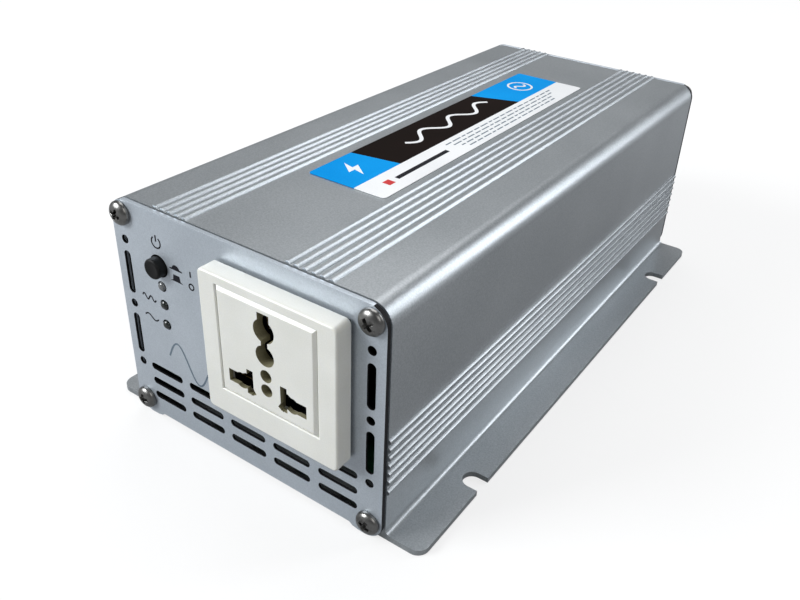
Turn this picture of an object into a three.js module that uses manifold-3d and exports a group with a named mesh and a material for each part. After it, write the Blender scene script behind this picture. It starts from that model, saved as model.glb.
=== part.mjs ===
// A small DC to AC power inverter: a ribbed aluminium case with side flanges, a universal
// mains socket and a push button in front, a fan and two DC terminals behind.
// Millimetres. X runs to the right of the front panel, Y from front to back, Z up.
import * as THREE from "three";
import { mergeVertices } from "three/addons/utils/BufferGeometryUtils.js";
import Module from "manifold-3d";

// ---- Driving dimensions ----
const caseWidth = 105;
const caseHeight = 82;
const caseLength = 237; // over both end panels
const cornerRadius = 6.3;
const wall = 2.5;
const panelThickness = 1.5;
const panelGap = 0.6; // shadow gap between an end panel and the case
const clearance = 0.3; // between neighbouring pieces

const flange = { reach: 65.5, thickness: 2, corner: 4, fillet: 1.2 };
const notch = { width: 7, centreX: 61.9, y: [37, 200] };

const rib = { height: 0.9, base: 1.9, crest: 0.7, pitch: 3.05 };
const topRibs = { right: { nearest: 17.5, count: 6 }, left: { nearest: 22.4, count: 5 } };
const sideRibs = { highest: 38.0, count: 6, lowest: 18.9 };

const port = { x: 47.8, low: 6.2, high: 77.2, radius: 3.6, bore: 2.3 };
const screw = { head: 4, dome: 2.6, shank: 2, length: 12, lift: 0.1 };

const vent = { length: 14.7, width: 2.7, pitchX: 18.05, columns: 5, rows: [9.6, 15.6, 21.6] };
const sideVent = { length: 15.4, width: 2.9, slots: [32.9, 56.2], holes: [21.5, 44.6, 68] };
const ear = { step: 1.6, start: 40.5, lowest: 0.2 };

const socket = { x: 16.8, z: 51.5, width: 50, height: 48.6, depth: 7, corner: 1.6 };
const insert = { z: 54.6, width: 36, height: 35.6, proud: 0.4, thickness: 3.7 };
const pinLineZ = 43.8; // height of the live and neutral pins
const housing = { width: 35.4, height: 35, back: 24 };

const button = { x: -33.2, z: 63.6, radius: 3.4, hole: 3.8, proud: 3, travel: 2.5 };
const led = { radius: 1.5, x: -32.9, z: [56.4, 49.6, 42.2] };
const frontBoard = { x: [-44.5, -20.5], z: [35, 73], y: 12, thickness: 1.6 };

const label = { x: [-16.7, 14.3], y: [50.4, 196.6], thickness: 0.3 };

const board = { halfWidth: 47.2, y: [8, 216], z: 13, thickness: 1.6 };
const boardTop = board.z + board.thickness + clearance;

const fan = { x: 15.8, z: 41.5, size: 60, depth: 15, bore: 28, holes: 25, hub: 13 };
const terminal = { x: -31, z: { positive: 58, negative: 27 }, collar: 9, stud: 3, knob: 8.5 };

const earthPoint = { x: -22, z: 12 };

const innerFront = panelThickness + panelGap;
const innerBack = caseLength - innerFront;
const wallInside = caseWidth / 2 - wall;
const rearFace = caseLength;
const knobEnd = rearFace + 21.5;
const frontReach = socket.depth + insert.proud;

// ---- Finishes ----
function finish(color, roughness, metalness = 0) {
  return new THREE.MeshStandardMaterial({ color, roughness, metalness });
}
const anodised = finish(0xb4b7bb, 0.42, 0.9);
const panelSilver = finish(0xb9c4cd, 0.38, 0.85);
const chrome = finish(0xdfe1e3, 0.12, 1);
const ivory = finish(0xe9e8e2, 0.4);
const blackPlastic = finish(0x101012, 0.45);
const redPlastic = finish(0xb3161b, 0.4);
const brass = finish(0xc9a44c, 0.3, 1);
const smoked = finish(0x3c4044, 0.15);
const labelPrint = finish(0xf2f3f4, 0.5);
const laminate = finish(0x1e5a34, 0.55);
const ferrite = finish(0x2a2b2d, 0.6);
const tape = finish(0xd7b83a, 0.5);
const copper = finish(0xb56a3a, 0.35, 1);
const sleeve = finish(0x23324f, 0.4);
const fuseAmber = finish(0xc7861e, 0.4);

// ---- Solids ----
const wasm = await Module();
wasm.setup();

function solidOf(geometry) {
  const bare = geometry.clone();
  bare.deleteAttribute("normal");
  bare.deleteAttribute("uv");
  const merged = mergeVertices(bare, 1e-4);
  return new wasm.Manifold(
    new wasm.Mesh({
      numProp: 3,
      vertProperties: merged.attributes.position.array,
      triVerts: new Uint32Array(merged.index.array),
    }),
  );
}

function geometryOf(solid) {
  const mesh = solid.getMesh();
  const geometry = new THREE.BufferGeometry();
  geometry.setAttribute("position", new THREE.BufferAttribute(mesh.vertProperties, 3));
  geometry.setIndex(new THREE.BufferAttribute(mesh.triVerts, 1));
  return geometry;
}

function join(...geometries) {
  return geometryOf(geometries.map(solidOf).reduce((a, b) => a.add(b)));
}

function cut(geometry, ...tools) {
  return geometryOf(tools.map(solidOf).reduce((a, b) => a.subtract(b), solidOf(geometry)));
}

// ---- Outlines: lists of points, counted round the shape ----
function arcPoints(x, y, radius, from, to, steps) {
  const points = [];
  for (let i = 0; i <= steps; i += 1) {
    const angle = from + ((to - from) * i) / steps;
    points.push([x + radius * Math.cos(angle), y + radius * Math.sin(angle)]);
  }
  return points;
}

function circle(radius, x = 0, y = 0, sides = 12) {
  return arcPoints(x, y, radius, 0, Math.PI * 2 * (1 - 1 / sides), sides - 1);
}

function rectangle(width, height, x = 0, y = 0) {
  const [w, h] = [width / 2, height / 2];
  return [[x - w, y - h], [x + w, y - h], [x + w, y + h], [x - w, y + h]];
}

function roundedRectangle(width, height, radius, x = 0, y = 0, steps = 3) {
  const [w, h] = [width / 2 - radius, height / 2 - radius];
  const quarter = Math.PI / 2;
  return [[w, h], [-w, h], [-w, -h], [w, -h]].flatMap(([dx, dy], i) =>
    arcPoints(x + dx, y + dy, radius, i * quarter, (i + 1) * quarter, steps),
  );
}

// A slot with round ends, lying along the first or the second axis of its drawing.
function slotHole(length, width, x, y, upright = false) {
  const reach = (length - width) / 2;
  const start = upright ? 0 : -Math.PI / 2;
  const [dx, dy] = upright ? [0, reach] : [reach, 0];
  return [
    ...arcPoints(x + dx, y + dy, width / 2, start, start + Math.PI, 4),
    ...arcPoints(x - dx, y - dy, width / 2, start + Math.PI, start + Math.PI * 2, 4),
  ];
}

// ---- Sweeps ----
const xAxis = new THREE.Vector3(1, 0, 0);
const yAxis = new THREE.Vector3(0, 1, 0);
const zAxis = new THREE.Vector3(0, 0, 1);

function extrude(outline, depth, holes) {
  const vectors = (points) => points.map(([x, y]) => new THREE.Vector2(x, y));
  const shape = new THREE.Shape(vectors(outline));
  shape.holes = holes.map((hole) => new THREE.Path(vectors(hole)));
  return new THREE.ExtrudeGeometry(shape, { depth, bevelEnabled: false });
}

// An outline drawn in X and Z, swept from one Y to another.
function alongY(outline, from, to, holes = []) {
  const turn = new THREE.Matrix4().makeBasis(xAxis, zAxis, yAxis.clone().negate());
  return extrude(outline, to - from, holes).applyMatrix4(turn).translate(0, to, 0);
}

// An outline drawn in X and Y, swept from one Z to another.
function alongZ(outline, from, to, holes = []) {
  return extrude(outline, to - from, holes).translate(0, 0, from);
}

// An outline drawn in Y and Z, swept from one X to another.
function alongX(outline, from, to, holes = []) {
  const turn = new THREE.Matrix4().makeBasis(yAxis, zAxis, xAxis);
  return extrude(outline, to - from, holes).applyMatrix4(turn).translate(from, 0, 0);
}

function block(x, y, z) {
  const size = [x, y, z].map(([low, high]) => high - low);
  const middle = [x, y, z].map(([low, high]) => (low + high) / 2);
  return new THREE.BoxGeometry(...size).translate(...middle);
}

// A round bar from one Y to another.
function barY(radius, from, to, x, z, sides = 12) {
  const bar = new THREE.CylinderGeometry(radius, radius, to - from, sides);
  return bar.translate(x, (from + to) / 2, z);
}

function barZ(radius, from, to, x, y, sides = 16) {
  const bar = new THREE.CylinderGeometry(radius, radius, to - from, sides).rotateX(Math.PI / 2);
  return bar.translate(x, y, (from + to) / 2);
}

// A solid of revolution about an axis along Y: pairs of radius and Y, from front to back.
function turnedY(profile, x, z, sides = 16) {
  const points = profile.map(([radius, y]) => new THREE.Vector2(radius, y));
  return new THREE.LatheGeometry(points, sides).translate(x, 0, z);
}

// ---- The model ----
const inverter = new THREE.Group();

function add(name, geometry, material) {
  const mesh = new THREE.Mesh(geometry, material);
  mesh.name = name;
  inverter.add(mesh);
  return mesh;
}

const corners = [
  ["top_left", -port.x, port.high],
  ["top_right", port.x, port.high],
  ["bottom_left", -port.x, port.low],
  ["bottom_right", port.x, port.low],
];

// One half of the case's section, drawn on the right, from the middle of the roof round
// the outside to the flange and back up the inside.
function halfSection(ribs) {
  const half = caseWidth / 2;
  const roof = [];
  for (let i = 0; i < ribs.count; i += 1) {
    const x = ribs.nearest + i * rib.pitch;
    roof.push([x - rib.base / 2, caseHeight], [x - rib.crest / 2, caseHeight + rib.height]);
    roof.push([x + rib.crest / 2, caseHeight + rib.height], [x + rib.base / 2, caseHeight]);
  }
  const corner = arcPoints(
    half - cornerRadius, caseHeight - cornerRadius, cornerRadius, Math.PI / 2, 0, 6,
  );
  const side = [];
  const heights = [];
  for (let i = 0; i < sideRibs.count; i += 1) heights.push(sideRibs.highest - i * rib.pitch);
  heights.push(sideRibs.lowest);
  for (const z of heights) {
    side.push([half, z + rib.base / 2], [half + rib.height, z + rib.crest / 2]);
    side.push([half + rib.height, z - rib.crest / 2], [half, z - rib.base / 2]);
  }
  const foot = [
    [half, flange.thickness + flange.fillet],
    [half + flange.fillet, flange.thickness],
    [flange.reach, flange.thickness],
    [flange.reach, 0],
    [wallInside - 1.8, 0],
    [wallInside - 1.8, 0.6],
    [wallInside, 0.6],
  ];
  const inside = [
    [wallInside, caseHeight - wall - 4],
    [wallInside - 4, caseHeight - wall],
  ];
  return [...roof, ...corner, ...side, ...foot, ...inside];
}

// Tools that cut the mounting notches and round the outer corners of the flanges.
function flangeCutters() {
  const outlines = [];
  const quarter = Math.PI / 2;
  for (const side of [-1, 1]) {
    const mouth = side * (flange.reach + 1);
    const inner = side > 0 ? quarter : -quarter;
    for (const y of notch.y) {
      const end = arcPoints(
        side * notch.centreX, y, notch.width / 2, inner, inner + Math.PI, 6,
      );
      const half = (side * notch.width) / 2;
      outlines.push([...end, [mouth, y - half], [mouth, y + half]]);
    }
    for (const [edge, inward] of [[innerFront, 1], [innerBack, -1]]) {
      const x = side * (flange.reach - flange.corner);
      const y = edge + inward * flange.corner;
      const [from, to] = side > 0 ? [0, -inward * quarter] : [Math.PI, Math.PI + inward * quarter];
      const rounding = arcPoints(x, y, flange.corner, from, to, 4);
      outlines.push([...rounding, [x, edge - inward], [mouth, edge - inward], [mouth, y]]);
    }
  }
  return outlines.map((outline) => alongZ(outline, -1, flange.thickness + 1));
}

function buildCase() {
  const right = halfSection(topRibs.right);
  const left = halfSection(topRibs.left).map(([x, z]) => [-x, z]).reverse();
  const shell = alongY([...right, ...left], innerFront, innerBack);
  const extras = corners.map(([, x, z]) => barY(port.radius, innerFront, innerBack, x, z));
  for (const side of [-1, 1]) {
    for (const z of [board.z - clearance - 1.2, boardTop]) {
      const reach = [side * (wallInside - 3.2), side * (wallInside + 0.5)].sort((a, b) => a - b);
      extras.push(block(reach, [innerFront, innerBack], [z, z + 1.2]));
    }
  }
  const bores = corners.map(([, x, z]) => barY(port.bore, 0, caseLength, x, z, 10));
  add("case_shell", cut(join(shell, ...extras), ...bores, ...flangeCutters()), anodised);

  const width = wallInside - clearance;
  const floor = block([-width, width], [innerFront, innerBack], [0.9, 2.3]);
  add("bottom_plate", floor, anodised);
}

// The outline that both end panels share: round top corners, and an ear round each low screw.
function panelOutline() {
  const x = caseWidth / 2 - cornerRadius;
  const low = ear.lowest + cornerRadius;
  const high = caseHeight - cornerRadius;
  const quarter = Math.PI / 2;
  return [
    [-ear.start, ear.step],
    [ear.start, ear.step],
    [ear.start + 1.2, ear.step - 0.9],
    [ear.start + 3, ear.lowest + 0.1],
    ...arcPoints(x, low, cornerRadius, -quarter, 0, 4),
    ...arcPoints(x, high, cornerRadius, 0, quarter, 5),
    ...arcPoints(-x, high, cornerRadius, quarter, quarter * 2, 5),
    ...arcPoints(-x, low, cornerRadius, quarter * 2, quarter * 3, 4),
    [-ear.start - 3, ear.lowest + 0.1],
    [-ear.start - 1.2, ear.step - 0.9],
  ];
}

function screwHoles() {
  return corners.map(([, x, z]) => circle(port.bore, x, z, 10));
}

function buildFrontPanel() {
  const holes = screwHoles();
  for (const z of vent.rows) {
    for (let i = 0; i < vent.columns; i += 1) {
      const x = (i - (vent.columns - 1) / 2) * vent.pitchX;
      holes.push(slotHole(vent.length, vent.width, x, z));
    }
  }
  for (const x of [-port.x, port.x]) {
    for (const z of sideVent.slots) {
      holes.push(slotHole(sideVent.length, sideVent.width, x, z, true));
    }
    for (const z of sideVent.holes) holes.push(circle(sideVent.width / 2, x, z));
  }
  holes.push(circle(button.hole, button.x, button.z, 16));
  for (const z of led.z) holes.push(circle(led.radius + clearance, led.x, z));
  const margin = 2 * clearance;
  holes.push(
    rectangle(housing.width + margin, housing.height + margin, socket.x, insert.z),
  );
  add("front_panel", alongY(panelOutline(), 0, panelThickness, holes), panelSilver);
}

function buildRearPanel() {
  const holes = screwHoles();
  holes.push(circle(fan.bore, fan.x, fan.z, 28));
  for (const [x, z] of fanCorners()) holes.push(circle(2.3, x, z, 8));
  for (const z of Object.values(terminal.z)) holes.push(circle(7, terminal.x, z, 16));
  holes.push(circle(2.3, earthPoint.x, earthPoint.z, 10));
  const front = rearFace - panelThickness;
  add("rear_panel", alongY(panelOutline(), front, rearFace, holes), panelSilver);
}

// A pan head screw with a cross recess, its head against a face at the given Y.
// Facing -1 points the head to the front, 1 to the back.
function panScrew(x, z, y, facing, length = screw.length) {
  const under = facing * screw.lift;
  const crown = facing * (screw.lift + screw.dome);
  const tip = -facing * (length - screw.lift);
  const profile = [
    [0, tip], [screw.shank, tip], [screw.shank, under], [screw.head, under],
    [screw.head, under + facing * 0.7], [screw.head * 0.75, under + facing * 2], [0, crown],
  ];
  const ordered = facing > 0 ? profile : [...profile].reverse();
  const body = turnedY(ordered, 0, 0, 10);
  const depth = [crown - facing * 1.4, crown + facing].sort((a, b) => a - b);
  const recess = [
    block([-1.9, 1.9], depth, [-0.45, 0.45]),
    block([-0.45, 0.45], depth, [-1.9, 1.9]),
  ];
  return cut(body, ...recess).translate(x, y, z);
}

function buildPanelScrews() {
  for (const [name, x, z] of corners) {
    add("front_screw_" + name, panScrew(x, z, 0, -1), chrome);
    add("rear_screw_" + name, panScrew(x, z, rearFace, 1), chrome);
  }
}

// The prisms of the pin openings, for plugs of several kinds.
function pinTools(from, to) {
  const tools = [];
  const x = socket.x;
  const disc = (radius, cx, cz) => alongY(circle(radius, cx, cz, 16), from, to);
  const bar = (width, height, cx, cz) => alongY(rectangle(width, height, cx, cz), from, to);
  tools.push(bar(4.3, 8.6, x, pinLineZ + 22.3), disc(3.8, x, pinLineZ + 21));
  tools.push(bar(2.4, 8, x, pinLineZ + 16.6), disc(3.4, x, pinLineZ + 12.7));
  for (const side of [-1, 1]) {
    tools.push(bar(7, 4.3, x + side * 11.1, pinLineZ));
    tools.push(disc(2.7, x + side * 9.5, pinLineZ));
    tools.push(bar(2.4, 8.6, x + side * 6.35, pinLineZ + 0.7));
    const blade = bar(2.2, 7.2, 0, 0).rotateY((side * Math.PI) / 6);
    tools.push(blade.translate(x + side * 6.9, 0, pinLineZ - 0.2));
  }
  return tools;
}

function buildSocket() {
  const front = -socket.depth;
  const rim = roundedRectangle(socket.width, socket.height, socket.corner, socket.x, socket.z);
  const margin = 2 * clearance;
  const hole = rectangle(insert.width + margin, insert.height + margin, socket.x, insert.z);
  add("socket_frame", alongY(rim, front, -clearance, [hole]), ivory);

  const face = front - insert.proud;
  const back = face + insert.thickness;
  const tile = alongY(rectangle(insert.width, insert.height, socket.x, insert.z), face, back);
  const dimples = [0.8, 5.8].map((lift) =>
    barY(2.1, face - 1, face + 2.5, socket.x, pinLineZ + lift),
  );
  add("socket_insert", cut(tile, ...pinTools(face - 1, back + 1), ...dimples), ivory);

  const start = back + clearance;
  const half = { x: housing.width / 2, z: housing.height / 2 };
  const hull = block(
    [socket.x - half.x, socket.x + half.x], [start, housing.back],
    [insert.z - half.z, insert.z + half.z],
  );
  const deep = [start - 1, housing.back - 2.4];
  const cavities = [block([socket.x - 4.6, socket.x + 4.6], deep, [52.6, 71])];
  for (const side of [-1, 1]) {
    const reach = [socket.x + side * 4, socket.x + side * 15.8].sort((a, b) => a - b);
    cavities.push(block(reach, deep, [38.4, 49.6]));
    cavities.push(barY(1.9, housing.back - 4, housing.back + 1, socket.x + side * 10, 44, 8));
  }
  add("socket_housing", cut(hull, ...cavities), blackPlastic);

  // A spring clip of sheet brass folded round the pin, opening to the front.
  const jaw = { inner: 2.4, sheet: 0.6, mouth: start + 0.6, heel: housing.back - 2.8 };
  const outer = jaw.inner + jaw.sheet;
  const clip = [
    [jaw.mouth, -outer], [jaw.heel, -outer], [jaw.heel, outer], [jaw.mouth, outer],
    [jaw.mouth, jaw.inner], [jaw.heel - jaw.sheet, jaw.inner],
    [jaw.heel - jaw.sheet, -jaw.inner], [jaw.mouth, -jaw.inner],
  ];
  for (const [name, side] of [["live_contact", 1], ["neutral_contact", -1]]) {
    const geometry = alongX(clip, -3.4, 3.4).translate(socket.x + side * 11.1, 0, pinLineZ);
    add(name, geometry, brass);
  }
  const earth = alongX(clip, -4, 4).rotateY(Math.PI / 2);
  add("earth_contact", earth.translate(socket.x, 0, pinLineZ + 22.2), brass);
}

function buildControls() {
  const capBack = 1;
  const switchFront = capBack + button.travel + 2 * clearance;
  const cap = turnedY([
    [0, -button.proud], [button.radius - 0.6, -button.proud],
    [button.radius, -button.proud + 0.6], [button.radius, capBack], [0, capBack],
  ], button.x, button.z, 16);
  const stemEnd = switchFront - clearance;
  const stem = block([-1.5, 1.5], [0.6, stemEnd], [-1.5, 1.5]).translate(button.x, 0, button.z);
  add("power_button", join(cap, stem), blackPlastic);

  const half = 4.2;
  const bodyX = [button.x - half, button.x + half];
  const bodyZ = [button.z - half, button.z + half];
  const pocket = block([-2.2, 2.2], [switchFront - 1, 9.2], [-2.2, 2.2]);
  const body = block(bodyX, [switchFront, frontBoard.y - clearance], bodyZ);
  add("switch_body", cut(body, pocket.translate(button.x, 0, button.z)), blackPlastic);
  const plunger = block([-1.8, 1.8], [stemEnd + 0.1, stemEnd + 1.6], [-1.8, 1.8]);
  add("switch_plunger", plunger.translate(button.x, 0, button.z), ivory);

  const [left, right] = frontBoard.x;
  const [low, high] = frontBoard.z;
  const back = frontBoard.y + frontBoard.thickness;
  add("front_board", block([left, right], [frontBoard.y, back], [low, high]), laminate);

  const lens = [
    [0, -0.9], [0.75, -0.65], [1.3, 0], [led.radius, 0.6], [led.radius, 2.4],
    [1.9, 2.4], [1.9, 3.4], [0, 3.4],
  ];
  ["upper_led", "middle_led", "lower_led"].forEach((name, i) => {
    const legs = [-0.65, 0.65].map((x) =>
      block([x - 0.25, x + 0.25], [3, frontBoard.y - clearance], [-0.25, 0.25]),
    );
    const geometry = join(turnedY(lens, 0, 0, 12), ...legs);
    add(name, geometry.translate(led.x, 0, led.z[i]), smoked);
  });
}

function buildLabel() {
  const [left, right] = label.x;
  const [near, far] = label.y;
  const middle = [(left + right) / 2, (near + far) / 2];
  const outline = roundedRectangle(right - left, far - near, 1.5, ...middle);
  const base = caseHeight + 0.1;
  add("top_label", alongZ(outline, base, base + label.thickness), labelPrint);
}

function fanCorners() {
  const places = [];
  for (const dz of [fan.holes, -fan.holes]) {
    for (const dx of [-fan.holes, fan.holes]) places.push([fan.x + dx, fan.z + dz]);
  }
  return places;
}

function buildFan() {
  const back = rearFace - panelThickness - clearance;
  const front = back - fan.depth;
  const rim = roundedRectangle(fan.size, fan.size, 4, fan.x, fan.z);
  const frame = alongY(rim, front, back);
  const boss = barY(fan.hub - 1, front, front + 4, fan.x, fan.z, 16);
  const arms = [];
  for (let i = 0; i < 4; i += 1) {
    const arm = block([0, fan.bore + 1.5], [front, front + 2.4], [-1.6, 1.6]);
    arms.push(arm.rotateY(Math.PI / 4 + (i * Math.PI) / 2).translate(fan.x, 0, fan.z));
  }
  const bore = barY(fan.bore, front - 1, back + 1, fan.x, fan.z, 28);
  const holes = fanCorners().map(([x, z]) => barY(2.2, front - 1, back + 1, x, z, 8));
  const shaftHole = barY(1.6, front + 1, front + 5, fan.x, fan.z, 8);
  const spider = cut(join(boss, ...arms), shaftHole);
  add("fan_frame", cut(join(cut(frame, bore, ...holes), spider), shaftHole), blackPlastic);

  const rotorFront = front + 4.5;
  const rotorBack = back - 0.8;
  const blades = [];
  for (let i = 0; i < 7; i += 1) {
    const blade = block([fan.hub - 1.5, fan.bore - 1], [-4.6, 4.6], [-0.7, 0.7]);
    blade.rotateX(Math.PI / 4).rotateY((i * Math.PI * 2) / 7);
    blades.push(blade.translate(fan.x, (rotorFront + rotorBack) / 2, fan.z));
  }
  const hub = barY(fan.hub, rotorFront, rotorBack, fan.x, fan.z, 20);
  const shaft = barY(1.2, front + 1.5, rotorFront + 1, fan.x, fan.z, 8);
  add("fan_rotor", join(hub, shaft, ...blades), blackPlastic);

  const guardBase = rearFace + 0.1;
  const guardThickness = 1.6;
  const bolts = fanCorners().map(([x, z]) => circle(2.3, x, z, 8));
  const openings = [];
  const gaps = [[6, 11], [12.4, 17.4], [18.8, 23.8], [25.2, 29]];
  for (const [inner, outer] of gaps) {
    for (let i = 0; i < 4; i += 1) {
      const inset = 1 / inner;
      const outset = 1 / outer;
      const start = Math.PI / 4 + (i * Math.PI) / 2;
      const end = start + Math.PI / 2;
      const sector = arcPoints(fan.x, fan.z, outer, start + outset, end - outset, 4);
      sector.push(...arcPoints(fan.x, fan.z, inner, end - inset, start + inset, 4));
      openings.push(sector);
    }
  }
  const plate = roundedRectangle(fan.size, fan.size, 5, fan.x, fan.z);
  const guard = alongY(plate, guardBase, guardBase + guardThickness, [...bolts, ...openings]);
  add("fan_guard", guard, chrome);
  fanCorners().forEach(([x, z], i) => {
    const y = guardBase + guardThickness;
    add("fan_screw_" + (i + 1), panScrew(x, z, y, 1, 14), chrome);
  });
}

function buildTerminals() {
  const hues = { positive: redPlastic, negative: blackPlastic };
  for (const [name, z] of Object.entries(terminal.z)) {
    const collarFace = rearFace + 3.5;
    const collar = [
      [3.4, rearFace - 4.2], [6.7, rearFace - 4.2], [6.7, rearFace + 0.3],
      [terminal.collar, rearFace + 0.3], [terminal.collar, collarFace], [3.4, collarFace],
      [3.4, rearFace - 4.2],
    ];
    add(name + "_collar", turnedY(collar, terminal.x, z, 20), hues[name]);
    const stud = [
      [0, rearFace - 14], [terminal.stud, rearFace - 14], [terminal.stud, rearFace - 8],
      [6, rearFace - 8], [6, rearFace - 4.6], [terminal.stud, rearFace - 4.6],
      [terminal.stud, knobEnd - 2.8], [0, knobEnd - 2.8],
    ];
    add(name + "_stud", turnedY(stud, terminal.x, z, 14), brass);
    const grip = [];
    const flutes = 12;
    for (let i = 0; i < flutes; i += 1) {
      const angle = (i * Math.PI * 2) / flutes;
      const spread = Math.PI / flutes;
      grip.push(...arcPoints(0, 0, terminal.knob, angle - spread * 0.55, angle + spread * 0.55, 2));
      const valley = terminal.knob - 0.8;
      grip.push([valley * Math.cos(angle + spread), valley * Math.sin(angle + spread)]);
    }
    const knobFace = collarFace + 2.6;
    const cap = alongY(grip, knobFace, knobEnd);
    const bore = barY(3.4, knobFace - 1, knobEnd - 2.4, 0, 0, 14);
    add(name + "_knob", cut(cap, bore).translate(terminal.x, 0, z), hues[name]);
  }
  add("earth_screw", panScrew(earthPoint.x, earthPoint.z, rearFace, 1, 9), brass);
}

// An insulated wire along a smooth curve through its points.
function lead(name, points, radius, material) {
  const path = new THREE.CatmullRomCurve3(points.map((p) => new THREE.Vector3(...p)));
  const ring = circle(radius, 0, 0, 8).map(([x, y]) => new THREE.Vector2(x, y));
  const settings = { steps: 12, extrudePath: path, bevelEnabled: false };
  const geometry = new THREE.ExtrudeGeometry(new THREE.Shape(ring), settings);
  add(name, geometry, material);
}

function buildLeads() {
  const studEnd = rearFace - 14 - clearance;
  const { positive, negative } = terminal.z;
  const foot = boardTop + 0.2;
  const x = terminal.x;
  const high = [[x, studEnd, positive], [x, 213, positive - 1], [x, 201, 42], [x, 197, 24], [x, 197, foot]];
  lead("positive_lead", high, 2.5, redPlastic);
  const low = [[x, studEnd, negative], [x, 215, negative - 1], [x, 209, 22], [x, 208, foot]];
  lead("negative_lead", low, 2.5, blackPlastic);
  const behind = housing.back + clearance;
  for (const [name, side] of [["live_lead", 1], ["neutral_lead", -1]]) {
    const startX = socket.x + side * 10;
    const route = [[startX, behind, 44], [startX, 31, 42], [startX, 40, 28], [startX, 42, foot]];
    lead(name, route, 1.6, side > 0 ? copper : sleeve);
  }
}

function buildElectronics() {
  const [near, far] = board.y;
  const top = board.z + board.thickness;
  const sheet = block([-board.halfWidth, board.halfWidth], [near, far], [board.z, top]);
  add("main_board", sheet, laminate);

  // A ferrite core with two windows, and the bobbin wound on its middle leg.
  const core = { x: -6, y: 120, width: 42, height: 42, depth: 15, leg: 12, window: 9 };
  const middle = boardTop + core.height / 2;
  const nearFace = core.y - core.depth / 2;
  const farFace = core.y + core.depth / 2;
  const windows = [-1, 1].map((side) => {
    const centre = core.x + side * (core.leg + core.window) * 0.5;
    return alongY(rectangle(core.window, 30, centre, middle), nearFace - 1, farFace + 1);
  });
  const outside = alongY(rectangle(core.width, core.height, core.x, middle), nearFace, farFace);
  add("transformer_core", cut(outside, ...windows), ferrite);
  const wound = roundedRectangle(core.leg + 16.6, core.depth + 16, 3, core.x, core.y);
  const legHole = rectangle(core.leg + 0.6, core.depth + 0.6, core.x, core.y);
  add("transformer_winding", alongZ(wound, middle - 14.6, middle + 14.6, [legHole]), tape);

  const choke = new THREE.TorusGeometry(12.5, 6, 8, 20);
  add("output_choke", choke.translate(22, 74, boardTop + 6), copper);

  const cans = [
    ["input_capacitor_1", -20, 172, 9, 30], ["input_capacitor_2", 2, 172, 9, 30],
    ["bus_capacitor_1", -26, 66, 11, 32], ["bus_capacitor_2", -26, 91, 11, 32],
  ];
  for (const [name, x, y, radius, height] of cans) {
    add(name, barZ(radius, boardTop, boardTop + height, x, y), sleeve);
  }

  for (const [name, side] of [["left", -1], ["right", 1]]) {
    const span = (a, b) => [side * a, side * b].sort((p, q) => p - q);
    const back = wallInside - clearance;
    const base = boardTop + 1.2 + clearance;
    [104, 128].forEach((y, i) => {
      const body = block(span(back - 4.6, back - 1), [y - 5, y + 5], [base, base + 9.5]);
      const tab = block(span(back - 1.3, back), [y - 5, y + 5], [base, base + 15.5]);
      add("transistor_" + name + "_" + (i + 1), join(body, tab), blackPlastic);
    });
    const bar = block(span(back - 8, back - 4.9), [94, 138], [base + 1, base + 8]);
    add("clamp_bar_" + name, bar, anodised);
  }

  const card = block([0, 40], [96, 97.6], [boardTop, boardTop + 24]);
  add("driver_board", card, laminate);
  const fuseBody = block([14, 33], [183, 188], [boardTop + 4, boardTop + 14]);
  const blades = [17, 30].map((x) => block([x - 2.5, x + 2.5], [185, 186], [boardTop, boardTop + 5]));
  add("dc_fuse", join(fuseBody, ...blades), fuseAmber);
}

buildCase();
buildFrontPanel();
buildRearPanel();
buildPanelScrews();
buildSocket();
buildControls();
buildLabel();
buildFan();
buildTerminals();
buildLeads();
buildElectronics();

// The origin is under the middle of the whole object.
inverter.position.y = -(knobEnd - frontReach) / 2;

export default inverter;
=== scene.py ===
import math

import bpy
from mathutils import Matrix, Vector


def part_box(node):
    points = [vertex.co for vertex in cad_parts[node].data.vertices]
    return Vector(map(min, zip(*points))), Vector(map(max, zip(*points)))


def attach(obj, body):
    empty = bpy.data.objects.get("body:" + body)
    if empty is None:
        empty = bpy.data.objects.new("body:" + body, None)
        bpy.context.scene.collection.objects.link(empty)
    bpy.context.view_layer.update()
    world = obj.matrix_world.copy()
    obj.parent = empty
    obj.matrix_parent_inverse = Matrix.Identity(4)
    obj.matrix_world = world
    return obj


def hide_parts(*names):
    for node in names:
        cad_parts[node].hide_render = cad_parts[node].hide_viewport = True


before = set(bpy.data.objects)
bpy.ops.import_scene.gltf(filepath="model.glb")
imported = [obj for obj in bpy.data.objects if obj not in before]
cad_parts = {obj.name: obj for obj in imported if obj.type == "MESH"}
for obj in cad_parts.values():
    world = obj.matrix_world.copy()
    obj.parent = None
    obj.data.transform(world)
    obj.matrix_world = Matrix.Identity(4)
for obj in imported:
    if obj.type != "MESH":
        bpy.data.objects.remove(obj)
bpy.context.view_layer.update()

# Sizes in the dictionaries are millimetres, as on a drawing. Blender works in metres.
mm = 0.001
quarterTurn = math.pi / 2


# small tools that work as by hand

def deselectAll():
    if bpy.context.object and bpy.context.object.mode != "OBJECT":
        bpy.ops.object.mode_set(mode="OBJECT")
    bpy.ops.object.select_all(action="DESELECT")


def pick(*pieces):
    deselectAll()
    for piece in pieces:
        piece.select_set(True)
    bpy.context.view_layer.objects.active = pieces[0]


def settle(name):
    # the new primitive keeps its place in its mesh
    piece = bpy.context.object
    piece.name = name
    bpy.ops.object.transform_apply(location=True, rotation=True, scale=True)
    return piece


def nodeBox(node):
    low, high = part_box(node)
    return low / mm, high / mm


def addBlock(name, low, high):
    low, high = Vector(low), Vector(high)
    deselectAll()
    bpy.ops.mesh.primitive_cube_add(size=1, location=(low + high) / 2 * mm)
    bpy.context.object.scale = (high - low) * mm
    return settle(name)


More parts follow.
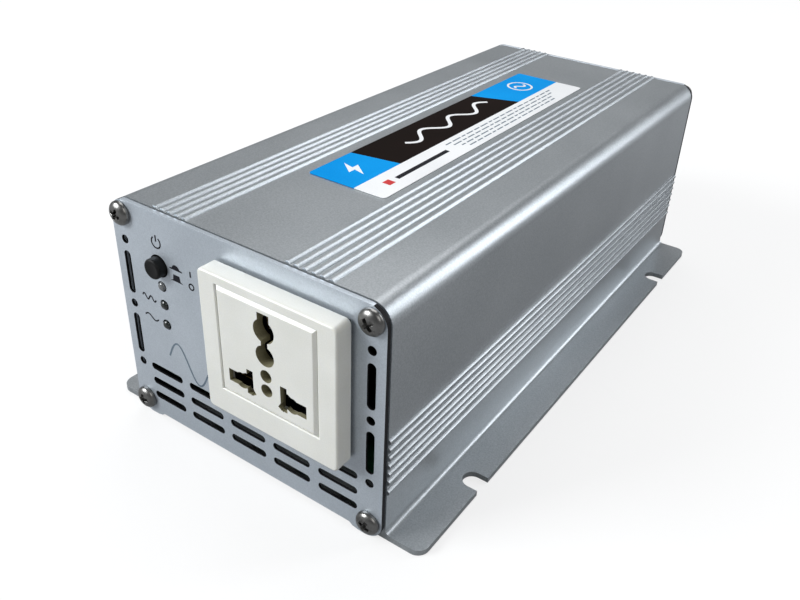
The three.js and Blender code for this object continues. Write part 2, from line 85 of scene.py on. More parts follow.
def addBar(name, radius, start, end, sides=32):
    # a round bar between two points
    start, end = Vector(start), Vector(end)
    deselectAll()
    bpy.ops.mesh.primitive_cylinder_add(
        radius=radius * mm,
        depth=(end - start).length * mm,
        vertices=sides,
        location=(start + end) / 2 * mm,
        rotation=(end - start).to_track_quat("Z", "Y").to_euler(),
    )
    return settle(name)


def selectWhere(piece, kind, test):
    # kind is VERT, EDGE or FACE; test gets the places of the corners, in millimetres
    pick(piece)
    bpy.ops.object.mode_set(mode="EDIT")
    bpy.ops.mesh.select_mode(type=kind)
    bpy.ops.mesh.select_all(action="DESELECT")
    bpy.ops.object.mode_set(mode="OBJECT")
    mesh = piece.data
    places = [vertex.co / mm for vertex in mesh.vertices]
    if kind == "VERT":
        for vertex, place in zip(mesh.vertices, places):
            vertex.select = test(place)
    elif kind == "EDGE":
        for edge in mesh.edges:
            edge.select = test(*[places[i] for i in edge.vertices])
    else:
        for face in mesh.polygons:
            face.select = test(face.center / mm, face.normal)
    bpy.ops.object.mode_set(mode="EDIT")


def leaveEdit():
    bpy.ops.object.mode_set(mode="OBJECT")


def applyModifier(piece, kind, **settings):
    pick(piece)
    change = piece.modifiers.new(kind.lower(), kind)
    for key, value in settings.items():
        setattr(change, key, value)
    bpy.ops.object.modifier_apply(modifier=change.name)


def softenEdges(piece, width, segments=2, angle=30):
    applyModifier(
        piece, "BEVEL", width=width * mm, segments=segments, limit_method="ANGLE",
        angle_limit=math.radians(angle), use_clamp_overlap=True, profile=0.5,
    )


def combine(piece, other, how="DIFFERENCE"):
    applyModifier(piece, "BOOLEAN", operation=how, object=other, solver="EXACT")
    bpy.data.objects.remove(other, do_unlink=True)


def joinPieces(first, *others):
    pick(first, *others)
    bpy.ops.object.join()
    return first


def copyPiece(piece, name):
    pick(piece)
    bpy.ops.object.duplicate(linked=False)
    return settle(name)


def turnAndPlace(piece, angle, place):
    # a turn about Y, then a shift, both kept in the mesh
    pick(piece)
    piece.rotation_euler = (0, angle, 0)
    piece.location = Vector(place) * mm
    bpy.ops.object.transform_apply(location=True, rotation=True, scale=True)


def edgesAtFront(low):
    return lambda a, b: a.y < low.y + 0.01 and b.y < low.y + 0.01


def bevelSelected(width, segments):
    bpy.ops.mesh.bevel(offset=width * mm, segments=segments, affect="EDGES")
    leaveEdit()


def middleOf(node):
    # the middle of a node, as seen from the front
    low, high = nodeBox(node)
    return (low.x + high.x) / 2, (low.z + high.z) / 2


def barThrough(radius, x, z, depth, sides=32):
    return addBar("bar", radius, (x, depth[0], z), (x, depth[1], z), sides)


def paintShadeOnFaces(piece, finishName, test):
    # painted shade: a second, dark material on the faces that pass the test
    piece.data.materials.append(finish[finishName])
    for face in piece.data.polygons:
        if test(face.center / mm, face.normal):
            face.material_index = 1


def drawChain(name, points):
    # one vertex, drawn out from point to point; the mesh is left in edit mode
    points = [Vector(point) * mm for point in points]
    deselectAll()
    bpy.ops.mesh.primitive_plane_add(size=mm, location=points[0])
    piece = bpy.context.object
    piece.name = name
    bpy.ops.object.mode_set(mode="EDIT")
    bpy.ops.mesh.select_mode(type="VERT")
    bpy.ops.mesh.select_all(action="SELECT")
    bpy.ops.mesh.merge(type="CENTER")
    for last, point in zip(points, points[1:]):
        bpy.ops.mesh.extrude_region_move(TRANSFORM_OT_translate={"value": point - last})
    bpy.ops.mesh.select_all(action="SELECT")
    return piece


def drawPrism(name, points, sweep):
    # a closed outline, filled and pulled out along sweep
    piece = drawChain(name, points)
    bpy.ops.mesh.edge_face_add()
    bpy.ops.mesh.extrude_region_move(TRANSFORM_OT_translate={"value": Vector(sweep) * mm})
    bpy.ops.mesh.select_all(action="SELECT")
    bpy.ops.mesh.normals_make_consistent(inside=False)
    leaveEdit()
    return settle(name)


def turnPiece(name, profile, centre, steps=32):
    # pairs of radius and place along Y, spun round an axis along Y through the centre
    centre = Vector(centre)
    piece = drawChain(name, [centre + Vector((radius, along, 0)) for radius, along in profile])
    bpy.ops.mesh.spin(steps=steps, angle=2 * math.pi, center=centre * mm, axis=(0, 1, 0))
    bpy.ops.mesh.select_all(action="SELECT")
    bpy.ops.mesh.remove_doubles(threshold=mm / 500)
    bpy.ops.mesh.normals_make_consistent(inside=False)
    leaveEdit()
    return settle(name)


def arc(x, z, radius, start, end, steps):
    turns = [start + (end - start) * i / steps for i in range(steps + 1)]
    return [(x + radius * math.cos(a), z + radius * math.sin(a)) for a in turns]


def roundedOutline(low, high, radius, steps=8):
    (x0, z0), (x1, z1) = low, high
    return [
        *arc(x1 - radius, z0 + radius, radius, -quarterTurn, 0, steps),
        *arc(x1 - radius, z1 - radius, radius, 0, quarterTurn, steps),
        *arc(x0 + radius, z1 - radius, radius, quarterTurn, 2 * quarterTurn, steps),
        *arc(x0 + radius, z0 + radius, radius, 2 * quarterTurn, 3 * quarterTurn, steps),
    ]


def ribbon(points, width):
    # the outline of a drawn line of even width
    points = [Vector(point) for point in points]
    sides = [[], []]
    for i, point in enumerate(points):
        along = points[min(i + 1, len(points) - 1)] - points[max(i - 1, 0)]
        across = Vector((-along.y, along.x)).normalized() * width / 2
        sides[0].append(point + across)
        sides[1].append(point - across)
    return sides[0] + sides[1][::-1]


def finishPiece(piece, body, slotName, finishName, replaced=(), angle=32):
    pick(piece)
    bpy.ops.object.shade_smooth_by_angle(angle=math.radians(angle))
    applyModifier(piece, "WEIGHTED_NORMAL", keep_sharp=True, weight=80)
    if finishName:
        piece.data.materials.clear()
        piece.data.materials.append(finish[finishName])
    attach(piece, body)
    if replaced:
        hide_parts(*replaced)
    return piece


# materials

def newMaterial(name, fixed):
    material = bpy.data.materials.new(name)
    material.use_nodes = True
    shader = material.node_tree.nodes["Principled BSDF"]
    for socket, value in fixed.items():
        shader.inputs[socket].default_value = value
    return material, material.node_tree, shader


def addNode(tree, kind, inputs, **settings):
    made = tree.nodes.new("ShaderNode" + kind)
    for key, value in settings.items():
        setattr(made, key, value)
    for key, value in inputs.items():
        if isinstance(value, bpy.types.NodeSocket):
            tree.links.new(value, made.inputs[key])
        else:
            made.inputs[key].default_value = value
    return made


def mapValue(tree, value, low, high, fromLow=0.3, fromHigh=0.7):
    inputs = {
        "Value": value, "From Min": fromLow, "From Max": fromHigh, "To Min": low, "To Max": high,
    }
    return addNode(tree, "MapRange", inputs).outputs["Result"]


def mixColours(tree, factor, first, second):
    inputs = {0: factor, 6: (*first, 1), 7: (*second, 1)}
    return addNode(tree, "Mix", inputs, data_type="RGBA").outputs[2]


def grainedFinish(name, look):
    # two noises: a fine grain for colour, gloss and relief, and a wide one for slow changes
    look = {**plainLook, **look}
    material, tree, shader = newMaterial(name, look["fixed"])
    place = addNode(tree, "TexCoord", {}).outputs["Object"]
    if "stretch" in look:
        place = addNode(tree, "Mapping", {"Vector": place, "Scale": look["stretch"]}).outputs[0]
    fine = {"Vector": place, "Scale": look["grainScale"], "Detail": 3.0, "Roughness": 0.6}
    grain = addNode(tree, "TexNoise", fine).outputs["Fac"]
    wide = {"Vector": place, "Scale": look["cloudScale"], "Detail": 2.0}
    cloud = addNode(tree, "TexNoise", wide).outputs["Fac"]
    share = look["grainShare"]
    weighted = addNode(tree, "Math", {0: grain, 1: share}, operation="MULTIPLY").outputs[0]
    blendInputs = {0: cloud, 1: 1 - share, 2: weighted}
    both = addNode(tree, "Math", blendInputs, operation="MULTIPLY_ADD").outputs[0]
    factor = mapValue(tree, both, 0.0, 1.0, 0.35, 0.65)
    tree.links.new(mixColours(tree, factor, look["dark"], look["light"]), shader.inputs["Base Color"])
    gloss = mapValue(tree, both, *look["roughness"])
    tree.links.new(gloss, shader.inputs["Roughness"])
    relief = {"Height": grain, "Strength": look["relief"], "Distance": look["depth"] * mm}
    bump = addNode(tree, "Bump", relief).outputs["Normal"]
    tree.links.new(bump, shader.inputs["Normal"])
    return material


plainLook = {"grainShare": 0.5, "relief": 0.1, "depth": 0.02, "fixed": {}}
printGrain = {"grainScale": 2600.0, "cloudScale": 300.0}
filmGrain = {"grainScale": 1600.0, "cloudScale": 40.0, "grainShare": 0.4, "relief": 0.08}
wireLook = {
    "grainScale": 1200.0, "cloudScale": 60.0, "roughness": (0.4, 0.55), "relief": 0.2, "depth": 0.04,
}
looks = {
    "anodisedCase": {
        "dark": (0.32, 0.345, 0.365), "light": (0.46, 0.485, 0.505),
        "grainScale": 1900.0, "cloudScale": 22.0, "grainShare": 0.75,
        "roughness": (0.32, 0.44), "relief": 0.35, "depth": 0.05,
        "fixed": {"Metallic": 0.72},
    },
    # painted shade for the inside of the case, near black
    "insidePaintedShade": {
        "dark": (0.012, 0.012, 0.013), "light": (0.030, 0.030, 0.032),
        "grainScale": 900.0, "cloudScale": 30.0,
        "roughness": (0.55, 0.75), "relief": 0.2, "depth": 0.04,
        "fixed": {"Specular IOR Level": 0.2},
    },
    # painted shade, near black, for the sides and hole walls of the panels and the step behind the socket
    # frame
    "edgePaintedShade": {
        "dark": (0.006, 0.006, 0.007), "light": (0.014, 0.014, 0.016),
        "grainScale": 1800.0, "cloudScale": 60.0,
        "roughness": (0.5, 0.7),
        "fixed": {"Specular IOR Level": 0.15},
    },
    "panelSilver": {
        "dark": (0.47, 0.52, 0.575), "light": (0.60, 0.655, 0.715),
        "grainScale": 2600.0, "cloudScale": 35.0, "grainShare": 0.6,
        "roughness": (0.34, 0.46), "relief": 0.2, "depth": 0.03,
        "fixed": {"Metallic": 0.6},
    },
    "screwChrome": {
        "dark": (0.17, 0.168, 0.162), "light": (0.25, 0.247, 0.24),
        "grainScale": 900.0, "cloudScale": 200.0, "grainShare": 0.4,
        "roughness": (0.26, 0.34), "relief": 0.06, "depth": 0.02,
        "fixed": {"Metallic": 1.0},
    },
    "ivoryPlastic": {
        "dark": (0.70, 0.70, 0.655), "light": (0.775, 0.775, 0.735),
        "grainScale": 2400.0, "cloudScale": 60.0,
        "roughness": (0.3, 0.42),
        "fixed": {"Subsurface Weight": 0.12, "Subsurface Radius": (0.002, 0.0018, 0.0012),
                  "Subsurface Scale": 0.6, "Coat Weight": 0.15, "Coat Roughness": 0.25},
    },
    # painted shade, dark olive, for the slot walls and dimple floors of the socket insert
    "ivoryPaintedShade": {
        "dark": (0.17, 0.155, 0.09), "light": (0.27, 0.25, 0.16),
        "grainScale": 2400.0, "cloudScale": 60.0,
        "roughness": (0.4, 0.55),
        "fixed": {"Specular IOR Level": 0.3},
    },
    "blackPlastic": {
        "dark": (0.002, 0.002, 0.002), "light": (0.005, 0.005, 0.0055),
        "grainScale": 2200.0, "cloudScale": 90.0, "grainShare": 0.6,
        "roughness": (0.42, 0.58), "relief": 0.3, "depth": 0.04,
        "fixed": {"Specular IOR Level": 0.22},
    },
    "redPlastic": {
        "dark": (0.36, 0.010, 0.014), "light": (0.50, 0.022, 0.028),
        "grainScale": 1800.0, "cloudScale": 90.0,
        "roughness": (0.28, 0.4), "relief": 0.2, "depth": 0.03,
        "fixed": {"Coat Weight": 0.2, "Coat Roughness": 0.2},
    },
    "brassBright": {
        "dark": (0.60, 0.42, 0.16), "light": (0.78, 0.60, 0.30),
        "grainScale": 1500.0, "cloudScale": 120.0,
        "roughness": (0.18, 0.34),
        "fixed": {"Metallic": 1.0},
    },
    "boardLaminate": {
        "dark": (0.005, 0.040, 0.018), "light": (0.014, 0.095, 0.045),
        "grainScale": 300.0, "cloudScale": 70.0, "grainShare": 0.7,
        "roughness": (0.3, 0.5), "relief": 0.3, "depth": 0.05,
    },
    "ferriteGrey": {
        "dark": (0.035, 0.035, 0.038), "light": (0.085, 0.083, 0.082),
        "grainScale": 1400.0, "cloudScale": 90.0, "grainShare": 0.7,
        "roughness": (0.5, 0.75), "relief": 0.5, "depth": 0.08,
    },
    "windingTape": {
        "dark": (0.55, 0.36, 0.04), "light": (0.74, 0.55, 0.11),
        "grainScale": 260.0, "cloudScale": 60.0, "stretch": (0.15, 0.15, 2.0),
        "roughness": (0.25, 0.4), "relief": 0.4, "depth": 0.1,
        "fixed": {"Coat Weight": 0.3, "Coat Roughness": 0.15},
    },
    "enamelledCopper": {
        "dark": (0.42, 0.13, 0.04), "light": (0.72, 0.31, 0.12),
        "grainScale": 500.0, "cloudScale": 120.0,
        "roughness": (0.18, 0.32), "relief": 0.2, "depth": 0.05,
        "fixed": {"Metallic": 0.9, "Coat Weight": 0.5, "Coat Roughness": 0.1},
    },
    "capacitorSleeve": {
        "dark": (0.012, 0.022, 0.07), "light": (0.03, 0.05, 0.13),
        "grainScale": 700.0, "cloudScale": 80.0,
        "roughness": (0.2, 0.32), "relief": 0.1, "depth": 0.03,
        "fixed": {"Coat Weight": 0.4, "Coat Roughness": 0.1},
    },
    "transistorEpoxy": {
        "dark": (0.014, 0.014, 0.014), "light": (0.035, 0.034, 0.033),
        "grainScale": 1800.0, "cloudScale": 200.0,
        "roughness": (0.45, 0.65), "relief": 0.4, "depth": 0.05,
    },
    "wireRed": {
        "dark": (0.36, 0.008, 0.010), "light": (0.48, 0.02, 0.022), **wireLook,
    },
    "wireBlack": {
        "dark": (0.010, 0.010, 0.010), "light": (0.025, 0.025, 0.026), **wireLook,
    },
    "fuseAmber": {
        "dark": (0.45, 0.19, 0.012), "light": (0.62, 0.30, 0.03),
        "grainScale": 600.0, "cloudScale": 90.0,
        "roughness": (0.15, 0.3), "relief": 0.1, "depth": 0.03,
        "fixed": {"Transmission Weight": 0.25, "Coat Weight": 0.3},
    },
    "greyLens": {
        "dark": (0.07, 0.075, 0.08), "light": (0.13, 0.135, 0.14),
        "grainScale": 700.0, "cloudScale": 200.0,
        "roughness": (0.08, 0.16), "relief": 0.05, "depth": 0.02,
        "fixed": {"Coat Weight": 0.6, "Coat Roughness": 0.05},
    },
    "darkLens": {
        "dark": (0.006, 0.010, 0.009), "light": (0.018, 0.022, 0.020),
        "grainScale": 700.0, "cloudScale": 200.0,
        "roughness": (0.12, 0.25), "relief": 0.05, "depth": 0.02,
        "fixed": {"Coat Weight": 0.4, "Coat Roughness": 0.08},
    },
    "printBlack": {
        "dark": (0.004, 0.004, 0.007), "light": (0.010, 0.010, 0.015),
        **printGrain, "roughness": (0.5, 0.65),
        "fixed": {"Specular IOR Level": 0.15},
    },
    "printSlate": {
        "dark": (0.085, 0.125, 0.165), "light": (0.14, 0.185, 0.23),
        **printGrain, "roughness": (0.4, 0.6),
    },
    "printRed": {
        "dark": (0.50, 0.012, 0.015), "light": (0.62, 0.03, 0.03),
        **printGrain, "roughness": (0.35, 0.5),
    },
    "filmWhite": {
        "dark": (0.80, 0.81, 0.83), "light": (0.88, 0.89, 0.90),
        **filmGrain, "roughness": (0.28, 0.42),
        "fixed": {"Coat Weight": 0.2, "Coat Roughness": 0.2},
    },
    "filmBlue": {
        "dark": (0.001, 0.24, 0.64), "light": (0.004, 0.30, 0.74),
        **filmGrain, "roughness": (0.42, 0.55),
        "fixed": {"Specular IOR Level": 0.03},
    },
    "filmBlack": {
        "dark": (0.006, 0.004, 0.003), "light": (0.012, 0.007, 0.006),
        **filmGrain, "roughness": (0.42, 0.55),
        "fixed": {"Specular IOR Level": 0.03},
    },
}
finish = {name: grainedFinish(name, look) for name, look in looks.items()}
print("materials ready:", len(finish))


# the extruded case

frontLow, frontHigh = nodeBox("front_panel")
rearLow, rearHigh = nodeBox("rear_panel")
shellLow, shellHigh = nodeBox("case_shell")
caseShape = {
    "halfWidth": frontHigh.x, "height": frontHigh.z, "cornerRadius": 6.3, "wall": 2.5,
    "ribHeight": 0.9, "ribBase": 1.9, "ribPitch": 3.05,
    "ribSection": ((-1, 0), (-0.8, 0.5), (-0.46, 0.88), (0, 1), (0.46, 0.88), (0.8, 0.5), (1, 0)),
    "rightRibs": (17.5, 6), "leftRibs": (22.4, 5), "sideRibs": (38.0, 6), "lastSideRib": 18.9,
    "flangeThickness": 2.0, "fillet": 1.6, "flangeCorner": 4.0,
    "edge": 0.16, "plateEdge": 0.25, "footStep": 1.8, "footHeight": 0.6, "insideCut": 4.0,
}
notchShape = {"width": 7.0, "centre": 61.9, "fromFront": (34.9, 197.9)}
portShape = {"x": 47.8, "low": 6.2, "high": 77.2, "radius": 3.6, "bore": 2.3}
railShape = {"low": (11.5, 14.9), "height": 1.2, "inner": 46.8}
screwPlaces = [(x, z) for x in (-portShape["x"], portShape["x"])
               for z in (portShape["low"], portShape["high"])]


def ribOutline(s, place, base, outward):
    # a rounded rib, as pairs of place along the wall and distance out
    half = s["ribBase"] / 2 * outward
    return [(place + half * across, base + s["ribHeight"] * up) for across, up in s["ribSection"]]


def halfOutline(s, ribs):
    # drawn on the right, from the middle of the roof round to the inside
    half, height, radius = s["halfWidth"], s["height"], s["cornerRadius"]
    nearest, count = ribs
    points = []
    for i in range(count):
        points += ribOutline(s, nearest + i * s["ribPitch"], height, 1)
    points += arc(half - radius, height - radius, radius, quarterTurn, 0, 14)
    highest, count = s["sideRibs"]
    for z in [*[highest - i * s["ribPitch"] for i in range(count)], s["lastSideRib"]]:
        points += [(x, along) for along, x in ribOutline(s, z, half, -1)]
    fillet, thick = s["fillet"], s["flangeThickness"]
    points += arc(half + fillet, thick + fillet, fillet, 2 * quarterTurn, 3 * quarterTurn, 5)
    inside = half - s["wall"]
    roof, foot, step, cut = height - s["wall"], inside - s["footStep"], s["footHeight"], s["insideCut"]
    points += [(shellHigh.x, thick), (shellHigh.x, 0), (foot, 0), (foot, step)]
    points += [(inside, step), (inside, roof - cut), (inside - cut, roof)]
    return points


def caseOutline(s):
    left = [(-x, z) for x, z in reversed(halfOutline(s, s["leftRibs"]))]
    return halfOutline(s, s["rightRibs"]) + left


def notchCutter(side, y):
    half, centre = notchShape["width"] / 2, side * notchShape["centre"]
    start = quarterTurn if side > 0 else -quarterTurn
    outline = arc(centre, y, half, start, start + math.pi, 16)
    mouth = side * (shellHigh.x + 2)
    outline += [(mouth, y - side * half), (mouth, y + side * half)]
    return drawPrism("notch", [(x, along, -1) for x, along in outline], (0, 0, 5))


def buildCase():
    s, length = caseShape, shellHigh.y - shellLow.y
    start, end = shellLow.y, shellHigh.y
    outline = [(x, start, z) for x, z in caseOutline(s)]
    shell = drawPrism("caseShell", outline, (0, length, 0))
    for x, z in screwPlaces:
        combine(shell, barThrough(portShape["radius"], x, z, (start, end)), "UNION")
    for side in (-1, 1):
        for z in railShape["low"]:
            reach = sorted((side * railShape["inner"], side * (s["halfWidth"] - 1)))
            low, high = (reach[0], start, z), (reach[1], end, z + railShape["height"])
            combine(shell, addBlock("rail", low, high), "UNION")
    for x, z in screwPlaces:
        combine(shell, barThrough(portShape["bore"], x, z, (start - 2, end + 2)))
    for side in (-1, 1):
        for y in notchShape["fromFront"]:
            combine(shell, notchCutter(side, shellLow.y + y))

    def flangeCorner(a, b):
        tip = abs(a.x) > shellHigh.x - 0.01 and abs(a.x - b.x) < 0.01
        return tip and abs(a.z - b.z) > 1 and min(abs(a.y - start), abs(a.y - end)) < 0.01

    selectWhere(shell, "EDGE", flangeCorner)
    bevelSelected(s["flangeCorner"], 8)
    softenEdges(shell, s["edge"], 2)
    finishPiece(shell, "case", "anodised_case", "anodisedCase", ["case_shell"])
    inner, roof = s["halfWidth"] - s["wall"] + 0.05, s["height"] - s["wall"] + 0.05

    def paintedShadeFacesIn(place, normal):
        return abs(place.x) < inner and 0.3 < place.z < roof and abs(normal.y) < 0.5

    # painted shade: the inner faces of the shell are coloured near black
    paintShadeOnFaces(shell, "insidePaintedShade", paintedShadeFacesIn)
    plate = addBlock("bottomPlate", *nodeBox("bottom_plate"))
    softenEdges(plate, s["plateEdge"], 2)
    finishPiece(plate, "case", "anodised_case", "anodisedCase", ["bottom_plate"])
    print("case built")


buildCase()


# the end panels

earShape = {"step": 1.6, "start": 40.5, "lowest": 0.2, "blend": 1.2}
ventShape = {"length": 14.7, "width": 2.7, "pitch": 18.05, "columns": 5, "rows": (9.6, 15.6, 21.6)}
sideVent = {"length": 15.4, "width": 2.9, "slots": (32.9, 56.2), "holes": (21.5, 44.6, 68.0)}
panelHoles = {"screw": 2.3, "button": 3.8, "lamp": 1.8, "socketGap": 0.3, "fan": 28.0, "fanScrew": 2.3,
              "terminal": 7.0, "earth": 2.3}
panelEdge = {"front": 0.13, "rear": 0.25, "skin": 0.9}
# the front panel is thinned behind its vents, between these places across and up
thinnedVents = ((-45.6, 6.9), (45.6, 24.3))
thinnedSides = {"halfWidth": 2.2, "low": 18.5, "high": 70.6}
ledNodes = ("upper_led", "middle_led", "lower_led")


def panelOutline():
    e, radius = earShape, caseShape["cornerRadius"]
    x, low = caseShape["halfWidth"] - radius, e["lowest"] + radius
    high = caseShape["height"] - radius
    right = [
        (e["start"], e["step"]), (e["start"] + e["blend"], e["step"] - 0.9),
        (e["start"] + e["blend"] * 2.5, e["lowest"] + 0.1),
        *arc(x, low, radius, -quarterTurn, 0, 10), *arc(x, high, radius, 0, quarterTurn, 12),
    ]
    return right + [(-a, b) for a, b in reversed(right)]


def slotCutter(length, width, x, z, y, upright=False):
    # a cylinder whose two halves are pulled apart
    cutter = barThrough(width / 2, x, z, y, 24)
    reach = (length - width) / 2
    for way in (-1, 1):
        axis = 2 if upright else 0
        centre = (x, 0, z)[axis]
        selectWhere(cutter, "VERT", lambda p: (p[axis] - centre) * way > 0.01)
        shift = [0, 0, 0]
        shift[axis] = way * reach * mm
        bpy.ops.transform.translate(value=shift)
        leaveEdit()
    return cutter


def buildPanel(name, node, edge, cutters, pockets=()):
    low, high = nodeBox(node)
    outline = [(x, low.y, z) for x, z in panelOutline()]
    panel = drawPrism(name, outline, (0, high.y - low.y, 0))
    depth = (low.y - 2, high.y + 2)
    holes = [barThrough(panelHoles["screw"], x, z, depth) for x, z in screwPlaces]
    holes += cutters(depth)
    combine(panel, joinPieces(*holes))
    for pocketLow, pocketHigh in pockets:
        combine(panel, addBlock("pocket", pocketLow, pocketHigh))
    softenEdges(panel, edge, 2)
    finishPiece(panel, "case", "panel_silver", "panelSilver", [node])

    def paintedShadeFacesAcross(place, normal):
        # the sides and the hole walls, but not the top and the foot, get a near-black painted shade
        onTopOrFoot = abs(normal.z) > 0.8 and (place.z > high.z - 0.3 or place.z < low.z + 2)
        return abs(normal.y) < 0.5 and not onTopOrFoot

    paintShadeOnFaces(panel, "edgePaintedShade", paintedShadeFacesAcross)


def frontCutters(depth):
    cutters = []
    for z in ventShape["rows"]:
        for i in range(ventShape["columns"]):
            x = (i - (ventShape["columns"] - 1) / 2) * ventShape["pitch"]
            cutters.append(slotCutter(ventShape["length"], ventShape["width"], x, z, depth))
    for x in (-portShape["x"], portShape["x"]):
        for z in sideVent["slots"]:
            cutters.append(slotCutter(sideVent["length"], sideVent["width"], x, z, depth, True))
        for z in sideVent["holes"]:
            cutters.append(barThrough(sideVent["width"] / 2, x, z, depth, 24))
    cutters.append(barThrough(panelHoles["button"], *middleOf("power_button"), depth, 40))
    for node in ledNodes:
        cutters.append(barThrough(panelHoles["lamp"], *middleOf(node), depth, 28))
    low, high = nodeBox("socket_housing")
    gap = panelHoles["socketGap"]
    start, end = (low.x - gap, depth[0], low.z - gap), (high.x + gap, depth[1], high.z + gap)
    cutters.append(addBlock("hole", start, end))
    return cutters


def rearCutters(depth):
    cutters = [barThrough(panelHoles["fan"], *middleOf("fan_guard"), depth, 72)]
    small = [("fan_screw_%d" % (i + 1), "fanScrew") for i in range(4)]
    small += [("positive_stud", "terminal"), ("negative_stud", "terminal"), ("earth_screw", "earth")]
    for node, hole in small:
        cutters.append(barThrough(panelHoles[hole], *middleOf(node), depth))
    return cutters


def thinnedPlaces():
    skin, back = frontLow.y + panelEdge["skin"], frontHigh.y + 1
    (left, foot), (right, top) = thinnedVents
    places = [((left, skin, foot), (right, back, top))]
    half, low, high = thinnedSides["halfWidth"], thinnedSides["low"], thinnedSides["high"]
    for x in (-portShape["x"], portShape["x"]):
        places.append(((x - half, skin, low), (x + half, back, high)))
    return places


buildPanel("frontPanel", "front_panel", panelEdge["front"], frontCutters, thinnedPlaces())
buildPanel("rearPanel", "rear_panel", panelEdge["rear"], rearCutters)
print("end panels built")


# pan head screws

screwShape = {
    "head": 4.0, "dome": 2.6, "rim": 0.6, "shank": 2.0, "length": 12.0, "pitch": 0.7, "thread": 0.3,
    "recess": 2.35, "slot": 0.72, "deep": 1.9, "taper": 0.62, "lift": 0.1,
}


def panScrew(name):
    # head towards -Y, seated at y 0; the dome is a curve that flattens to the crown
    s = screwShape
    length, root, rim = s["length"], s["shank"] - s["thread"], s["rim"]
    profile = [(0, -s["dome"])]
    for i in range(1, 9):
        turn = quarterTurn * i / 8
        profile.append((s["head"] * math.sin(turn), -rim - (s["dome"] - rim) * math.cos(turn)))
    profile += [(s["head"], -0.15), (s["head"] - 0.15, 0), (s["shank"], 0)]
    along = 1.0
    while along < length - 1:
        profile += [(root, along), (s["shank"], along + s["pitch"] / 2)]
        along += s["pitch"]
    profile += [(root, length - 0.6), (0, length)]
    screw = turnPiece(name, profile, (0, 0, 0), 32)
    cross = []
    for size in ((s["slot"], s["recess"]), (s["recess"], s["slot"])):
        low = (-size[0], -s["dome"] - 1, -size[1])
        high = (size[0], -s["dome"] + s["deep"], size[1])
        bar = addBlock("recess", low, high)
        selectWhere(bar, "FACE", lambda centre, normal: normal.y > 0.5)
        bpy.ops.transform.resize(value=(s["taper"], 1, s["taper"]))
        leaveEdit()
        cross.append(bar)
    combine(cross[0], cross[1], "UNION")
    combine(screw, cross[0])
    softenEdges(screw, 0.05, 1, 50)
    return screw


def placeScrew(pattern, node, seat, facing, spin, slotName="chrome", finishName="screwChrome"):
    # facing is -1 for a head towards the front and 1 for one towards the back
    x, z = middleOf(node)
    screw = copyPiece(pattern, node.title().replace("_", ""))
    screw.rotation_euler = (0, 0, 0 if facing < 0 else math.pi)
    bpy.ops.object.transform_apply(location=True, rotation=True, scale=True)
    turn = spin if facing < 0 else spin + 180
    turnAndPlace(screw, math.radians(turn), (x, seat + facing * screwShape["lift"], z))
    finishPiece(screw, "case", slotName, finishName, [node], 40)


def buildScrews():
    pattern = panScrew("screwPattern")
    guardTop = nodeBox("fan_guard")[1].y
    for i, corner in enumerate(("top_left", "top_right", "bottom_left", "bottom_right")):
        placeScrew(pattern, "front_screw_" + corner, frontLow.y, -1, 20 + 31 * i)
        placeScrew(pattern, "rear_screw_" + corner, rearHigh.y, 1, 12 + 41 * i)
    for i in range(4):
        placeScrew(pattern, "fan_screw_%d" % (i + 1), guardTop, 1, 33 * i)
    placeScrew(pattern, "earth_screw", rearHigh.y, 1, 25, "brass", "brassBright")
    bpy.data.objects.remove(pattern, do_unlink=True)
    print("screws built")


buildScrews()


# the universal socket

socketShape = {
    "corner": 1.8, "edge": 0.75, "step": 0.8, "inner": 0.45, "chamfer": 0.95, "bead": 0.25, "gap": 0.3,
    "thin": 1.4, "thinnedAcross": (3.6, 16.4), "thinnedBelow": 5.2, "thinnedAbove": 6.2,
}
pinShape = {"line": 43.8, "spread": 11.1, "dimple": 2.1, "dimpleDepth": 2.5, "dimples": (0.8, 5.8)}


def buildSocketFrame():
    s = socketShape
    low, high = nodeBox("socket_frame")
    plate = addBlock("socketFrame", low, high)
    selectWhere(plate, "EDGE", lambda a, b: abs(a.y - b.y) > 1)
    bevelSelected(s["corner"], 6)
    selectWhere(plate, "EDGE", edgesAtFront(low))
    bevelSelected(s["edge"], 5)
    insideLow, insideHigh = nodeBox("socket_insert")
    x, z = middleOf("socket_insert")
    gap = s["gap"]
    holeLow = (insideLow.x - gap, low.y - 2, insideLow.z - gap)
    holeHigh = (insideHigh.x + gap, high.y + 2, insideHigh.z + gap)
    combine(plate, addBlock("hole", holeLow, holeHigh))
    # a narrow step at the back leaves a gap before the panel, and its faces are painted near black as shade
    step, back = s["step"], high.y - s["step"]
    ring = addBlock("ring", (low.x - 2, back, low.z - 2), (high.x + 2, high.y + 1, high.z + 2))
    coreLow, coreHigh = (low.x + step, back - 1, low.z + step), (high.x - step, high.y + 2, high.z - step)
    combine(ring, addBlock("core", coreLow, coreHigh))
    combine(plate, ring)
    half = (insideHigh.x - insideLow.x) / 2 + gap + 0.1
    atFront = edgesAtFront(low)

    def holeRim(a, b):
        return atFront(a, b) and all(max(abs(p.x - x), abs(p.z - z)) < half for p in (a, b))

    selectWhere(plate, "EDGE", holeRim)
    bevelSelected(s["inner"], 3)
    finishPiece(plate, "case", "ivory_plastic", "ivoryPlastic", ["socket_frame"], 28)
    # painted shade: the faces of the step are coloured near black
    paintShadeOnFaces(plate, "edgePaintedShade", lambda place, normal: place.y > back + 0.05 and abs(normal.y) < 0.5)


